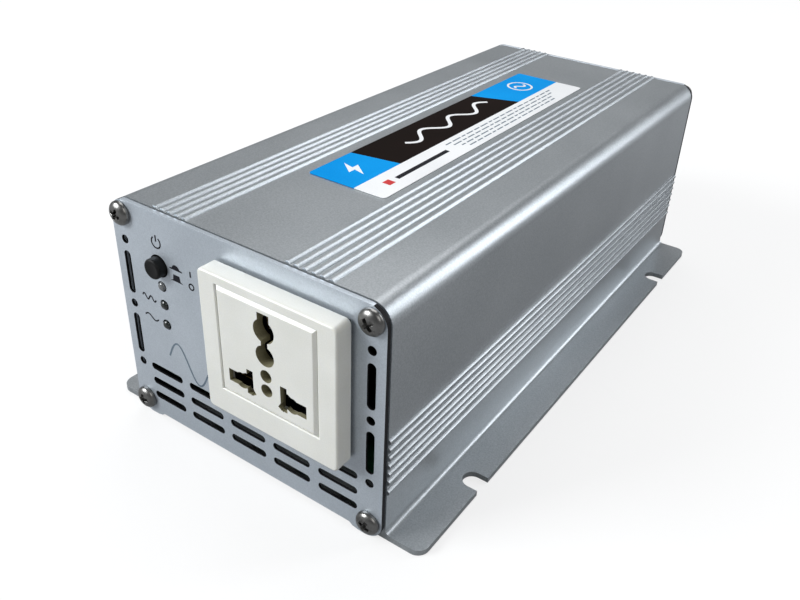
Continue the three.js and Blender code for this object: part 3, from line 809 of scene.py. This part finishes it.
def pinCutters(depth):
    x, line = middleOf("socket_insert")[0], pinShape["line"]
    cutters = []

    def bar(width, height, cx, cz, lean=0):
        low, high = (-width / 2, depth[0], -height / 2), (width / 2, depth[1], height / 2)
        cutter = addBlock("slot", low, high)
        turnAndPlace(cutter, math.radians(lean), (cx, 0, cz))
        cutters.append(cutter)

    def disc(radius, cx, cz):
        cutters.append(barThrough(radius, cx, cz, depth, 36))

    bar(4.3, 8.6, x, line + 22.3)
    disc(3.8, x, line + 21)
    bar(2.4, 8, x, line + 16.6)
    disc(3.4, x, line + 12.7)
    for side in (-1, 1):
        bar(7, 4.3, x + side * pinShape["spread"], line)
        disc(2.7, x + side * 9.5, line)
        bar(2.4, 8.6, x + side * 6.35, line + 0.7)
        bar(2.2, 7.2, x + side * 6.9, line - 0.2, side * 30)
    return cutters


def buildSocketInsert():
    s = socketShape
    low, high = nodeBox("socket_insert")
    tile = addBlock("socketInsert", low, high)
    for width, segments in ((s["chamfer"], 1), (s["bead"], 2)):
        selectWhere(tile, "EDGE", edgesAtFront(low))
        bevelSelected(width, segments)
    cutters = pinCutters((low.y - 2, high.y + 2))
    x, line = middleOf("socket_insert")[0], pinShape["line"]
    for lift in pinShape["dimples"]:
        depth = (low.y - 1, low.y + pinShape["dimpleDepth"])
        cutters.append(barThrough(pinShape["dimple"], x, line + lift, depth, 28))
    # the plate is thin behind the two flat pin ways
    for side in (-1, 1):
        reach = sorted(x + side * across for across in s["thinnedAcross"])
        pocketLow = (reach[0], low.y + s["thin"], line - s["thinnedBelow"])
        pocketHigh = (reach[1], high.y + 1, line + s["thinnedAbove"])
        cutters.append(addBlock("pocket", pocketLow, pocketHigh))
    for cutter in cutters[1:]:
        combine(cutters[0], cutter, "UNION")
    combine(tile, cutters[0])
    finishPiece(tile, "case", "ivory_plastic", "ivoryPlastic", ["socket_insert"], 28)

    def paintedShadeFacesIn(place, normal):
        inside = low.x + 2 < place.x < high.x - 2 and low.z + 2 < place.z < high.z - 2
        return inside and place.y > low.y + 0.3

    # painted shade: faces behind the front inside the insert's border, such as slot walls and dimple
    # floors, are coloured dark olive
    paintShadeOnFaces(tile, "ivoryPaintedShade", paintedShadeFacesIn)


buildSocketFrame()
buildSocketInsert()
print("socket built")


# push button and lamps

buttonShape = {"round": 0.7, "dish": 0.25, "stem": 1.5, "cap": 4.0}
lensShape = {
    "radius": 1.5, "dome": 0.95, "flange": 1.9, "flangeStart": 2.4, "body": 3.3, "leg": 0.25,
    "legSpread": 0.65,
}


def buildButton():
    s = buttonShape
    low, high = nodeBox("power_button")
    x, z = middleOf("power_button")
    radius = (high.x - low.x) / 2
    profile = [(0, low.y + s["dish"]), (radius * 0.4, low.y + s["dish"] * 0.8)]
    profile.append((radius - s["round"] - 0.5, low.y + 0.05))
    profile += arc(radius - s["round"], low.y + s["round"], s["round"], -quarterTurn, 0, 6)
    back, half = low.y + s["cap"], s["stem"]
    profile += [(radius, back - 0.3), (radius - 0.3, back), (0, back)]
    cap = turnPiece("powerButton", profile, (x, 0, z), 48)
    combine(cap, addBlock("stem", (x - half, back - 0.4, z - half), (x + half, high.y, z + half)), "UNION")
    finishPiece(cap, "button", "black_plastic", "blackPlastic", ["power_button"], 40)


def buildLamps():
    s = lensShape
    for node, lensFinish in zip(ledNodes, ("greyLens", "darkLens", "darkLens")):
        low, high = nodeBox(node)
        x, z = middleOf(node)
        base = low.y + s["dome"]
        turns = [quarterTurn * i / 8 for i in range(9)]
        profile = [(s["radius"] * math.sin(a), base - s["dome"] * math.cos(a)) for a in turns]
        flange, back = base + s["flangeStart"], base + s["body"]
        profile += [(s["radius"], flange - 0.1), (s["flange"], flange), (s["flange"], back), (0, back)]
        lens = turnPiece(node.title().replace("_", ""), profile, (x, 0, z), 28)
        half = s["leg"]
        for side in (-1, 1):
            leg = x + side * s["legSpread"]
            start, end = (leg - half, back - 0.3, z - half), (leg + half, high.y, z + half)
            combine(lens, addBlock("leg", start, end), "UNION")
        finishPiece(lens, "case", "led_lens", lensFinish, [node], 40)


buildButton()
buildLamps()
print("button and lamps built")


# printed marks on the front panel: a power sign, press marks, waves and a sine curve

printShape = {
    "proud": 0.05, "sunk": 0.05, "line": 0.5, "curveLine": 0.62, "signUp": 8.2, "pressAcross": 7.6,
    "key": ((-2.7, -5.6), (-1.6, -5.2), (-1.3, -3.3), (1.3, -3.3), (1.6, -5.2), (2.7, -5.6)),
}
fullRing = math.radians(359.9)


def panelMark(outline):
    y = frontLow.y + printShape["sunk"]
    depth = -(printShape["sunk"] + printShape["proud"])
    return drawPrism("mark", [(x, y, z) for x, z in outline], (0, depth, 0))


def wave(x, z, length, height, periods, steps):
    return [(x + length * i / steps, z + height * math.sin(2 * math.pi * periods * i / steps))
            for i in range(steps + 1)]


def buildPanelPrint():
    x, z = middleOf("power_button")
    line = printShape["line"]
    signZ, right = z + printShape["signUp"], x + printShape["pressAcross"]
    sign = arc(x, signZ, 1.9, math.radians(125), math.radians(415), 24)
    marks = [panelMark(ribbon(sign, line)), panelMark(ribbon([(x, signZ + 0.3), (x, signZ + 2.5)], line))]
    domeZ, keyZ = z + 3.2, z + 2.8
    dome = [(right - 2.7, domeZ - 1.6)]
    dome += arc(right, domeZ - 1.9, 1.7, math.radians(165), math.radians(15), 8)
    dome += [(right + 2.7, domeZ - 1.6), (right + 2.7, domeZ - 2.0), (right - 2.7, domeZ - 2.0)]
    marks.append(panelMark(dome))
    marks.append(panelMark([(right + a, keyZ + b) for a, b in printShape["key"]]))
    # a stroke for on and a ring for off
    onOff = right + 6.3
    marks.append(panelMark(ribbon([(onOff, z + 1.1), (onOff, z + 3.1)], 0.6)))
    marks.append(panelMark(ribbon(arc(onOff, z - 2.2, 1.0, 0, fullRing, 24), line)))
    for node, periods in (("middle_led", 2), ("lower_led", 1)):
        lampX, lampZ = middleOf(node)
        marks.append(panelMark(ribbon(wave(lampX - 10.0, lampZ + 0.2, 6.2, 0.85, periods, 60), line)))
    piece = joinPieces(*marks)
    piece.name = "panelMarks"
    finishPiece(piece, "case", "black_plastic", "printBlack")

    curve = panelMark(ribbon(wave(x - 0.2, 30.0, 17.4, 6.3, 1, 48), printShape["curveLine"]))
    curve.name = "sineCurve"
    finishPiece(curve, "case", "black_plastic", "printSlate")
    print("panel print built")


buildPanelPrint()


# the printed label on the roof

labelShape = {
    "corner": 1.2, "split": 2.3, "nearCut": (76.0, 72.6), "farCut": (161.0, 153.8), "ink": 0.03,
    "sunk": 0.02, "edge": 0.08,
}
labelMarks = {
    "bolt": ((1.6, 5.4), (-3.4, -0.7), (-0.4, -0.7), (-1.6, -5.4), (3.4, 0.9), (0.4, 0.9)), "boltAt": 12.0,
    "sine": (42.0, 45.0), "sineHeight": 3.1, "sinePeriods": 3, "ringAt": 17.0, "ring": 5.2,
    "square": 3.2, "squareAt": 9.0, "rule": (15.0, 46.0), "dashesAt": 50.0,
    "rows": (-3.3, -1.1, 1.1, 3.3), "dashes": (3.6, 5.2, 2.4, 4.4), "dashGap": 1.1,
}


def labelMark(outline, finishName, top):
    sunk = labelShape["sunk"]
    points = [(x, y, top - sunk) for x, y in outline]
    mark = drawPrism("labelMark", points, (0, 0, sunk + labelShape["ink"]))
    mark.data.materials.append(finish[finishName])
    return mark


def buildLabel():
    s = labelShape
    low, high = nodeBox("top_label")
    outline = roundedOutline((low.x, low.y), (high.x, high.y), s["corner"])
    film = drawPrism("topLabel", [(x, y, low.z) for x, y in outline], (0, 0, high.z - low.z))
    softenEdges(film, s["edge"], 2)
    cuts = [((s["split"], 0, 0), (1, 0, 0))]
    for near, far in (s["nearCut"], s["farCut"]):
        slope = Vector((low.x - s["split"], far - near, 0))
        cuts.append(((s["split"], near + frontLow.y, 0), (-slope.y, slope.x, 0)))
    for place, normal in cuts:
        selectWhere(film, "FACE", lambda centre, n: True)
        bpy.ops.mesh.bisect(plane_co=Vector(place) * mm, plane_no=Vector(normal).normalized())
        leaveEdit()
    finishPiece(film, "case", "label_print", None, ["top_label"])
    for name in ("filmWhite", "filmBlue", "filmBlack"):
        film.data.materials.append(finish[name])
    for face in film.data.polygons:
        place = face.center / mm
        share = (s["split"] - place.x) / (s["split"] - low.x)
        near, far = [a + (b - a) * share + frontLow.y for a, b in (s["nearCut"], s["farCut"])]
        middle = 2 if near < place.y < far else 1
        face.material_index = 0 if place.x > s["split"] else middle
    buildLabelMarks(low, high)
    print("label built")


def buildLabelMarks(low, high):
    m, split, near, far = labelMarks, labelShape["split"], low.y, high.y
    middle, centre = (low.x + split) / 2, (split + high.x) / 2
    marks = []

    def mark(outline, finishName="filmWhite"):
        marks.append(labelMark(outline, finishName, high.z))

    # a bolt on the near blue field
    mark([(middle - up, near + m["boltAt"] + along) for along, up in m["bolt"]])
    # a long sine wave on the black field
    start, end = near + m["sine"][0], far - m["sine"][1]
    steps = 90
    turns = [2 * math.pi * m["sinePeriods"] * i / steps for i in range(steps + 1)]
    places = [start + (end - start) * i / steps for i in range(steps + 1)]
    wavy = [middle - 0.2 + m["sineHeight"] * math.sin(turn) for turn in turns]
    mark(ribbon(list(zip(wavy, places)), 1.5))
    # a wave in a ring on the far blue field
    y = far - m["ringAt"]
    mark(ribbon(arc(middle, y, m["ring"], 0, fullRing, 40), 0.9))
    tilde = [(middle - 1.5 * math.sin(2 * math.pi * i / 24), y - 3.3 + 6.6 * i / 24) for i in range(25)]
    mark(ribbon(tilde, 1.0))
    # on the white strip, a red square and a dark rule, then rows of short dashes
    half, foot = m["square"] / 2, near + m["squareAt"]
    head = foot + m["square"]
    mark([(centre - half, foot), (centre + half, foot), (centre + half, head), (centre - half, head)],
         "printRed")
    mark(ribbon([(centre, near + place) for place in m["rule"]], 1.9), "printBlack")
    for row, shift in enumerate(m["rows"]):
        x, start = centre + shift, near + m["dashesAt"] + 2.0 * row
        for step in range(40):
            end = start + m["dashes"][(step + row) % 4]
            if end > far - 8 - 4.0 * row:
                break
            mark(ribbon([(x, start), (x, end)], 0.6), "printSlate")
            start = end + m["dashGap"]
    piece = joinPieces(*marks)
    piece.name = "labelMarks"
    finishPiece(piece, "case", "label_print", None)


buildLabel()


# the fan

fanShape = {
    "corner": 4.0, "bore": 28.0, "boltHole": 2.2, "spread": 25.0, "hub": 13.0, "arm": 1.6, "armDepth": 2.4,
    "edge": 0.35, "shaftHole": 1.6, "shaft": 1.2, "rotorStart": 4.5, "blades": 7,
}
bladeShape = {"half": (5.8, 0.45), "stations": 6, "pitch": (52, 34), "sweep": 16, "edge": 0.18}
guardShape = {"wire": 0.75, "rings": (7.0, 13.0, 19.0, 25.0), "loop": 3.1}


def fanCorners():
    x, z = middleOf("fan_frame")
    spread = fanShape["spread"]
    return [(x + dx, z + dz) for dz in (spread, -spread) for dx in (-spread, spread)]


def buildFanFrame():
    s = fanShape
    low, high = nodeBox("fan_frame")
    x, z = middleOf("fan_frame")
    outline = roundedOutline((low.x, low.z), (high.x, high.z), s["corner"])
    body = drawPrism("fanFrame", [(a, low.y, b) for a, b in outline], (0, high.y - low.y, 0))
    depth = (low.y - 1, high.y + 1)
    combine(body, barThrough(s["bore"], x, z, depth, 72))
    for cx, cz in fanCorners():
        combine(body, barThrough(s["boltHole"], cx, cz, depth, 20))
    hub = barThrough(s["hub"] - 1, x, z, (low.y, low.y + 4), 48)
    for i in range(4):
        start, end = (0, low.y, -s["arm"]), (s["bore"] + 1.5, low.y + s["armDepth"], s["arm"])
        arm = addBlock("arm", start, end)
        turnAndPlace(arm, math.radians(45 + 90 * i), (x, 0, z))
        combine(hub, arm, "UNION")
    combine(body, hub, "UNION")
    combine(body, barThrough(s["shaftHole"], x, z, (low.y + 1, low.y + 5), 20))
    softenEdges(body, s["edge"], 2)
    finishPiece(body, "case", "black_plastic", "blackPlastic", ["fan_frame"])


def fanBlade():
    # a thin plate, pitched less towards its tip and swept back
    s, root, tip = bladeShape, fanShape["hub"] - 1.5, fanShape["bore"] - 1.0
    chord, thick = s["half"]
    blade = addBlock("blade", (root, -chord, -thick), (tip, chord, thick))
    selectWhere(blade, "EDGE", lambda a, b: abs(a.x - b.x) > 1)
    bpy.ops.mesh.subdivide(number_cuts=s["stations"] - 1)
    leaveEdit()
    first, last = s["pitch"]
    for i in range(s["stations"] + 1):
        share = i / s["stations"]
        x = root + (tip - root) * share
        selectWhere(blade, "VERT", lambda p: abs(p.x - x) < 0.01)
        pitch = math.radians(first + (last - first) * share)
        bpy.ops.transform.rotate(value=pitch, orient_axis="X", center_override=(x * mm, 0, 0))
        turn = math.radians(s["sweep"] * share * share)
        bpy.ops.transform.rotate(value=turn, orient_axis="Y", center_override=(0, 0, 0))
        leaveEdit()
    softenEdges(blade, s["edge"], 1, 40)
    return blade


def buildFanRotor():
    s = fanShape
    back = nodeBox("fan_rotor")[1].y
    x, z = middleOf("fan_frame")
    front = nodeBox("fan_frame")[0].y + s["rotorStart"]
    hub, shaft = s["hub"], s["shaft"]
    profile = [(0, front - 3), (shaft, front - 3), (shaft, front), (hub - 0.8, front), (hub, front + 0.8)]
    profile += arc(hub - 1.6, back - 1.6, 1.6, 0, quarterTurn, 5)
    profile += [(8.6, back), (8.4, back - 0.25), (8.2, back), (0, back)]
    rotor = turnPiece("fanRotor", profile, (x, 0, z), 56)
    pattern = fanBlade()
    for i in range(s["blades"]):
        blade = copyPiece(pattern, "blade")
        turnAndPlace(blade, 2 * math.pi * i / s["blades"], (x, (front + back) / 2, z))
        combine(rotor, blade, "UNION")
    bpy.data.objects.remove(pattern, do_unlink=True)
    finishPiece(rotor, "fan", "black_plastic", "blackPlastic", ["fan_rotor"], 40)


def buildFanGuard():
    s = guardShape
    low = nodeBox("fan_guard")[0]
    x, z = middleOf("fan_guard")
    armY, ringY = low.y + s["wire"], low.y + s["wire"] * 2.7
    wires = []

    def ring(radius, cx, y, cz, turns):
        deselectAll()
        bpy.ops.mesh.primitive_torus_add(
            location=Vector((cx, y, cz)) * mm, rotation=(quarterTurn, 0, 0), major_segments=turns,
            minor_segments=12, major_radius=radius * mm, minor_radius=s["wire"] * mm,
        )
        wires.append(settle("ring"))

    for radius in s["rings"]:
        ring(radius, x, ringY, z, 72)
    for cx, cz in fanCorners():
        ring(s["loop"], cx, armY, cz, 28)
        way = Vector((cx - x, 0, cz - z)).normalized()
        reach = math.hypot(cx - x, cz - z) - s["loop"]
        centre = Vector((x, armY, z))
        wires.append(addBar("arm", s["wire"], centre + way * s["rings"][0], centre + way * reach, 12))
    guard = joinPieces(*wires)
    guard.name = "fanGuard"
    finishPiece(guard, "case", "chrome", "screwChrome", ["fan_guard"], 50)


buildFanFrame()
buildFanRotor()
buildFanGuard()
print("fan built")


# the DC terminals

knobShape = {
    "flutes": 12, "deep": 0.8, "bore": 3.4, "cap": 2.4, "edge": 0.3, "dish": 5.4, "dishDepth": 0.6,
}
collarShape = {"bore": 3.4, "neck": 6.7, "gap": 0.3, "edge": 0.7}
studShape = {
    "radius": 3.0, "nut": 6.0, "nutPlace": (6.0, 9.4), "threadStart": 12.0, "pitch": 1.0, "thread": 0.45,
}


def buildKnob(pole, look, body):
    s = knobShape
    low, high = nodeBox(pole + "_knob")
    x, z = middleOf(pole + "_stud")
    radius = (high.x - low.x) / 2
    outline = []
    for i in range(s["flutes"]):
        centre, spread = 2 * math.pi * i / s["flutes"], math.pi / s["flutes"]
        outline += arc(x, z, radius, centre - spread * 0.55, centre + spread * 0.55, 3)
        for share in (0.8, 1.0, 1.2):
            reach = radius - s["deep"] * (1 - abs(share - 1) / 0.5)
            angle = centre + spread * share
            outline.append((x + reach * math.cos(angle), z + reach * math.sin(angle)))
    knob = drawPrism(pole + "Knob", [(a, low.y, b) for a, b in outline], (0, high.y - low.y, 0))
    combine(knob, barThrough(s["bore"], x, z, (low.y - 1, high.y - s["cap"])))
    combine(knob, barThrough(s["dish"], x, z, (high.y - s["dishDepth"], high.y + 1), 40))
    softenEdges(knob, s["edge"], 3, 50)
    finishPiece(knob, body, *look, [pole + "_knob"], 40)


def buildCollar(pole, look):
    s = collarShape
    low, high = nodeBox(pole + "_collar")
    x, z = middleOf(pole + "_stud")
    seat, radius = rearHigh.y + s["gap"], (high.x - low.x) / 2
    bore, neck, edge = s["bore"], s["neck"], s["edge"]
    profile = [(bore, low.y), (neck, low.y), (neck, seat), (radius - 0.3, seat), (radius, seat + 0.3)]
    profile += [(radius, high.y - edge), (radius - edge, high.y), (bore + 0.4, high.y)]
    profile += [(bore, high.y - 0.4), (bore, low.y)]
    collar = turnPiece(pole + "Collar", profile, (x, 0, z), 48)
    finishPiece(collar, "case", *look, [pole + "_collar"], 30)


def buildStud(pole):
    s = studShape
    low, high = nodeBox(pole + "_stud")
    x, z = middleOf(pole + "_stud")
    radius, nut = s["radius"], s["nut"]
    start, end = [low.y + along for along in s["nutPlace"]]
    profile = [(0, low.y), (radius - 0.3, low.y), (radius, low.y + 0.3), (radius, start)]
    profile += [(nut - 0.3, start), (nut, start + 0.3), (nut, end - 0.3), (nut - 0.3, end), (radius, end)]
    along = low.y + s["threadStart"]
    while along < high.y - 1.2:
        profile += [(radius, along), (radius - s["thread"], along + s["pitch"] / 2)]
        along += s["pitch"]
    profile += [(radius, high.y - 0.5), (radius - 0.5, high.y), (0, high.y)]
    stud = turnPiece(pole + "Stud", profile, (x, 0, z), 32)
    finishPiece(stud, "case", "brass", "brassBright", [pole + "_stud"], 30)


for pole, look, body in (
    ("positive", ("red_plastic", "redPlastic"), "red_knob"),
    ("negative", ("black_plastic", "blackPlastic"), "black_knob"),
):
    buildCollar(pole, look)
    buildStud(pole)
    buildKnob(pole, look, body)
print("terminals built")


# what the case holds

canShape = {"rim": 0.14, "groove": 0.2, "grooveDepth": 0.35, "edge": 0.42}
chokeShape = {"turns": 34, "wire": 0.7, "wireInset": 0.72, "coreInset": 1.4}


def buildCapacitor(node):
    s = canShape
    low, high = nodeBox(node)
    x, y = (low.x + high.x) / 2, (low.y + high.y) / 2
    radius = (high.x - low.x) / 2
    can = addBar(node.title().replace("_", ""), radius, (x, y, low.z), (x, y, high.z), 40)
    selectWhere(can, "FACE", lambda centre, normal: normal.z > 0.9)
    bpy.ops.mesh.inset(thickness=radius * s["rim"] * mm, depth=0)
    bpy.ops.mesh.inset(thickness=s["groove"] * mm, depth=-s["grooveDepth"] * mm)
    leaveEdit()
    softenEdges(can, s["edge"], 3, 50)
    finishPiece(can, "case", "capacitor_sleeve", "capacitorSleeve", [node], 40)


def buildChoke():
    s = chokeShape
    low, high = nodeBox("output_choke")
    centre = (low + high) / 2
    thick = (high.z - low.z) / 2
    major = (high.x - low.x) / 2 - thick
    deselectAll()
    bpy.ops.mesh.primitive_torus_add(
        location=centre * mm, major_segments=56, minor_segments=16,
        major_radius=major * mm, minor_radius=(thick - s["coreInset"]) * mm,
    )
    parts = [settle("outputChoke")]
    for i in range(s["turns"]):
        turn = 2 * math.pi * i / s["turns"]
        place = centre + Vector((math.cos(turn), math.sin(turn), 0)) * major
        deselectAll()
        bpy.ops.mesh.primitive_torus_add(
            location=place * mm, rotation=(quarterTurn, 0, turn), major_segments=18,
            minor_segments=6, major_radius=(thick - s["wireInset"]) * mm, minor_radius=s["wire"] * mm,
        )
        parts.append(settle("turn"))
    choke = joinPieces(*parts)
    finishPiece(choke, "case", "enamelled_copper", "enamelledCopper", ["output_choke"], 60)


carried = {
    "blackPlastic": ["socket_housing", "switch_body"],
    "ivoryPlastic": ["switch_plunger"],
    "brassBright": ["live_contact", "neutral_contact", "earth_contact"],
    "boardLaminate": ["front_board", "main_board", "driver_board"],
    "ferriteGrey": ["transformer_core"],
    "windingTape": ["transformer_winding"],
    "transistorEpoxy": ["transistor_%s_%d" % (side, i) for side in ("left", "right") for i in (1, 2)],
    "anodisedCase": ["clamp_bar_left", "clamp_bar_right"],
    "wireRed": ["positive_lead", "live_lead"],
    "wireBlack": ["negative_lead", "neutral_lead"],
    "fuseAmber": ["dc_fuse"],
}


def dressCarried():
    for finishName, names in carried.items():
        for name in names:
            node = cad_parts[name]
            node.data.materials.clear()
            node.data.materials.append(finish[finishName])


for can in ("input_capacitor_1", "input_capacitor_2", "bus_capacitor_1", "bus_capacitor_2"):
    buildCapacitor(can)
buildChoke()
dressCarried()
print("inside dressed")


# floor, light and camera

# places and sizes of the stage and the lights are metres
stageLook = {
    "floorSize": 8.0, "floorHeight": -0.0002, "pale": (0.93, 0.935, 0.94), "dim": (0.36, 0.36, 0.365),
    "glow": 0.72, "sky": 0.20, "skyColour": (0.96, 0.98, 1.0), "white": 1.0, "aim": (0, 0, 0.04),
}
lights = {
    "key": {"place": (-1.02, -1.15, 0.88), "size": (0.8, 0.8), "power": 32.0, "colour": (0.96, 0.985, 1.0)},
    "roof": {"place": (-0.30, 0.55, 1.32), "size": (0.9, 0.9), "power": 8.0, "colour": (1.0, 1.0, 1.0)},
    "edge": {"place": (0.84, 0.98, 0.55), "size": (0.4, 0.95), "power": 8.5, "colour": (0.93, 0.965, 1.0)},
    "fill": {"place": (1.12, -0.50, 0.98), "size": (0.9, 0.9), "power": 4.4, "colour": (1.0, 0.99, 0.97)},
}
cameraSetup = {
    "place": (149.58, -264.24, 193.45), "turn": (59.6, -2.879, 33.82),
    "lens": 37.117, "shift": (-0.03185, -0.03754),
}


def showToCamera(tree, outputName, others, camera):
    # the camera sees one shader, and reflections and bounced light the other
    seen = addNode(tree, "LightPath", {}).outputs["Is Camera Ray"]
    mixed = addNode(tree, "MixShader", {0: seen, 1: others, 2: camera}).outputs[0]
    tree.links.new(mixed, tree.nodes[outputName].inputs["Surface"])


def buildStage():
    bpy.context.scene.view_settings.view_transform = "Standard"
    deselectAll()
    bpy.ops.mesh.primitive_plane_add(
        size=stageLook["floorSize"], location=(0, 0, stageLook["floorHeight"]),
    )
    floor = bpy.context.object
    floor.name = "floor"
    material = bpy.data.materials.new("paleFloor")
    material.use_nodes = True
    tree = material.node_tree
    tree.nodes.remove(tree.nodes["Principled BSDF"])
    matt = addNode(tree, "BsdfDiffuse", {"Color": (*stageLook["pale"], 1)}).outputs[0]
    bright = addNode(tree, "Emission", {"Color": (1, 1, 1, 1), "Strength": 1.0}).outputs[0]
    pale = addNode(tree, "MixShader", {0: stageLook["glow"], 1: matt, 2: bright}).outputs[0]
    dim = addNode(tree, "BsdfDiffuse", {"Color": (*stageLook["dim"], 1)}).outputs[0]
    showToCamera(tree, "Material Output", dim, pale)
    floor.data.materials.append(material)

    world = bpy.data.worlds.new("studio")
    bpy.context.scene.world = world
    world.use_nodes = True
    tree = world.node_tree
    tree.nodes.remove(tree.nodes["Background"])
    backgrounds = []
    for colour, strength in ((stageLook["skyColour"], stageLook["sky"]), ((1, 1, 1), stageLook["white"])):
        inputs = {"Color": (*colour, 1), "Strength": strength}
        backgrounds.append(addNode(tree, "Background", inputs).outputs[0])
    showToCamera(tree, "World Output", *backgrounds)

    for name, light in lights.items():
        place = Vector(light["place"])
        deselectAll()
        turn = (Vector(stageLook["aim"]) - place).to_track_quat("-Z", "Y").to_euler()
        bpy.ops.object.light_add(type="AREA", location=place, rotation=turn)
        lamp = bpy.context.object
        lamp.name = name + "Light"
        lamp.data.shape = "RECTANGLE"
        lamp.data.size, lamp.data.size_y = light["size"]
        lamp.data.energy = light["power"]
        lamp.data.color = light["colour"]

    deselectAll()
    turn = [math.radians(angle) for angle in cameraSetup["turn"]]
    bpy.ops.object.camera_add(location=Vector(cameraSetup["place"]) * mm, rotation=turn)
    camera = bpy.context.object
    camera.data.lens = cameraSetup["lens"]
    camera.data.shift_x, camera.data.shift_y = cameraSetup["shift"]
    camera.data.clip_start = 0.01
    bpy.context.scene.camera = camera
    print("stage set")


buildStage()
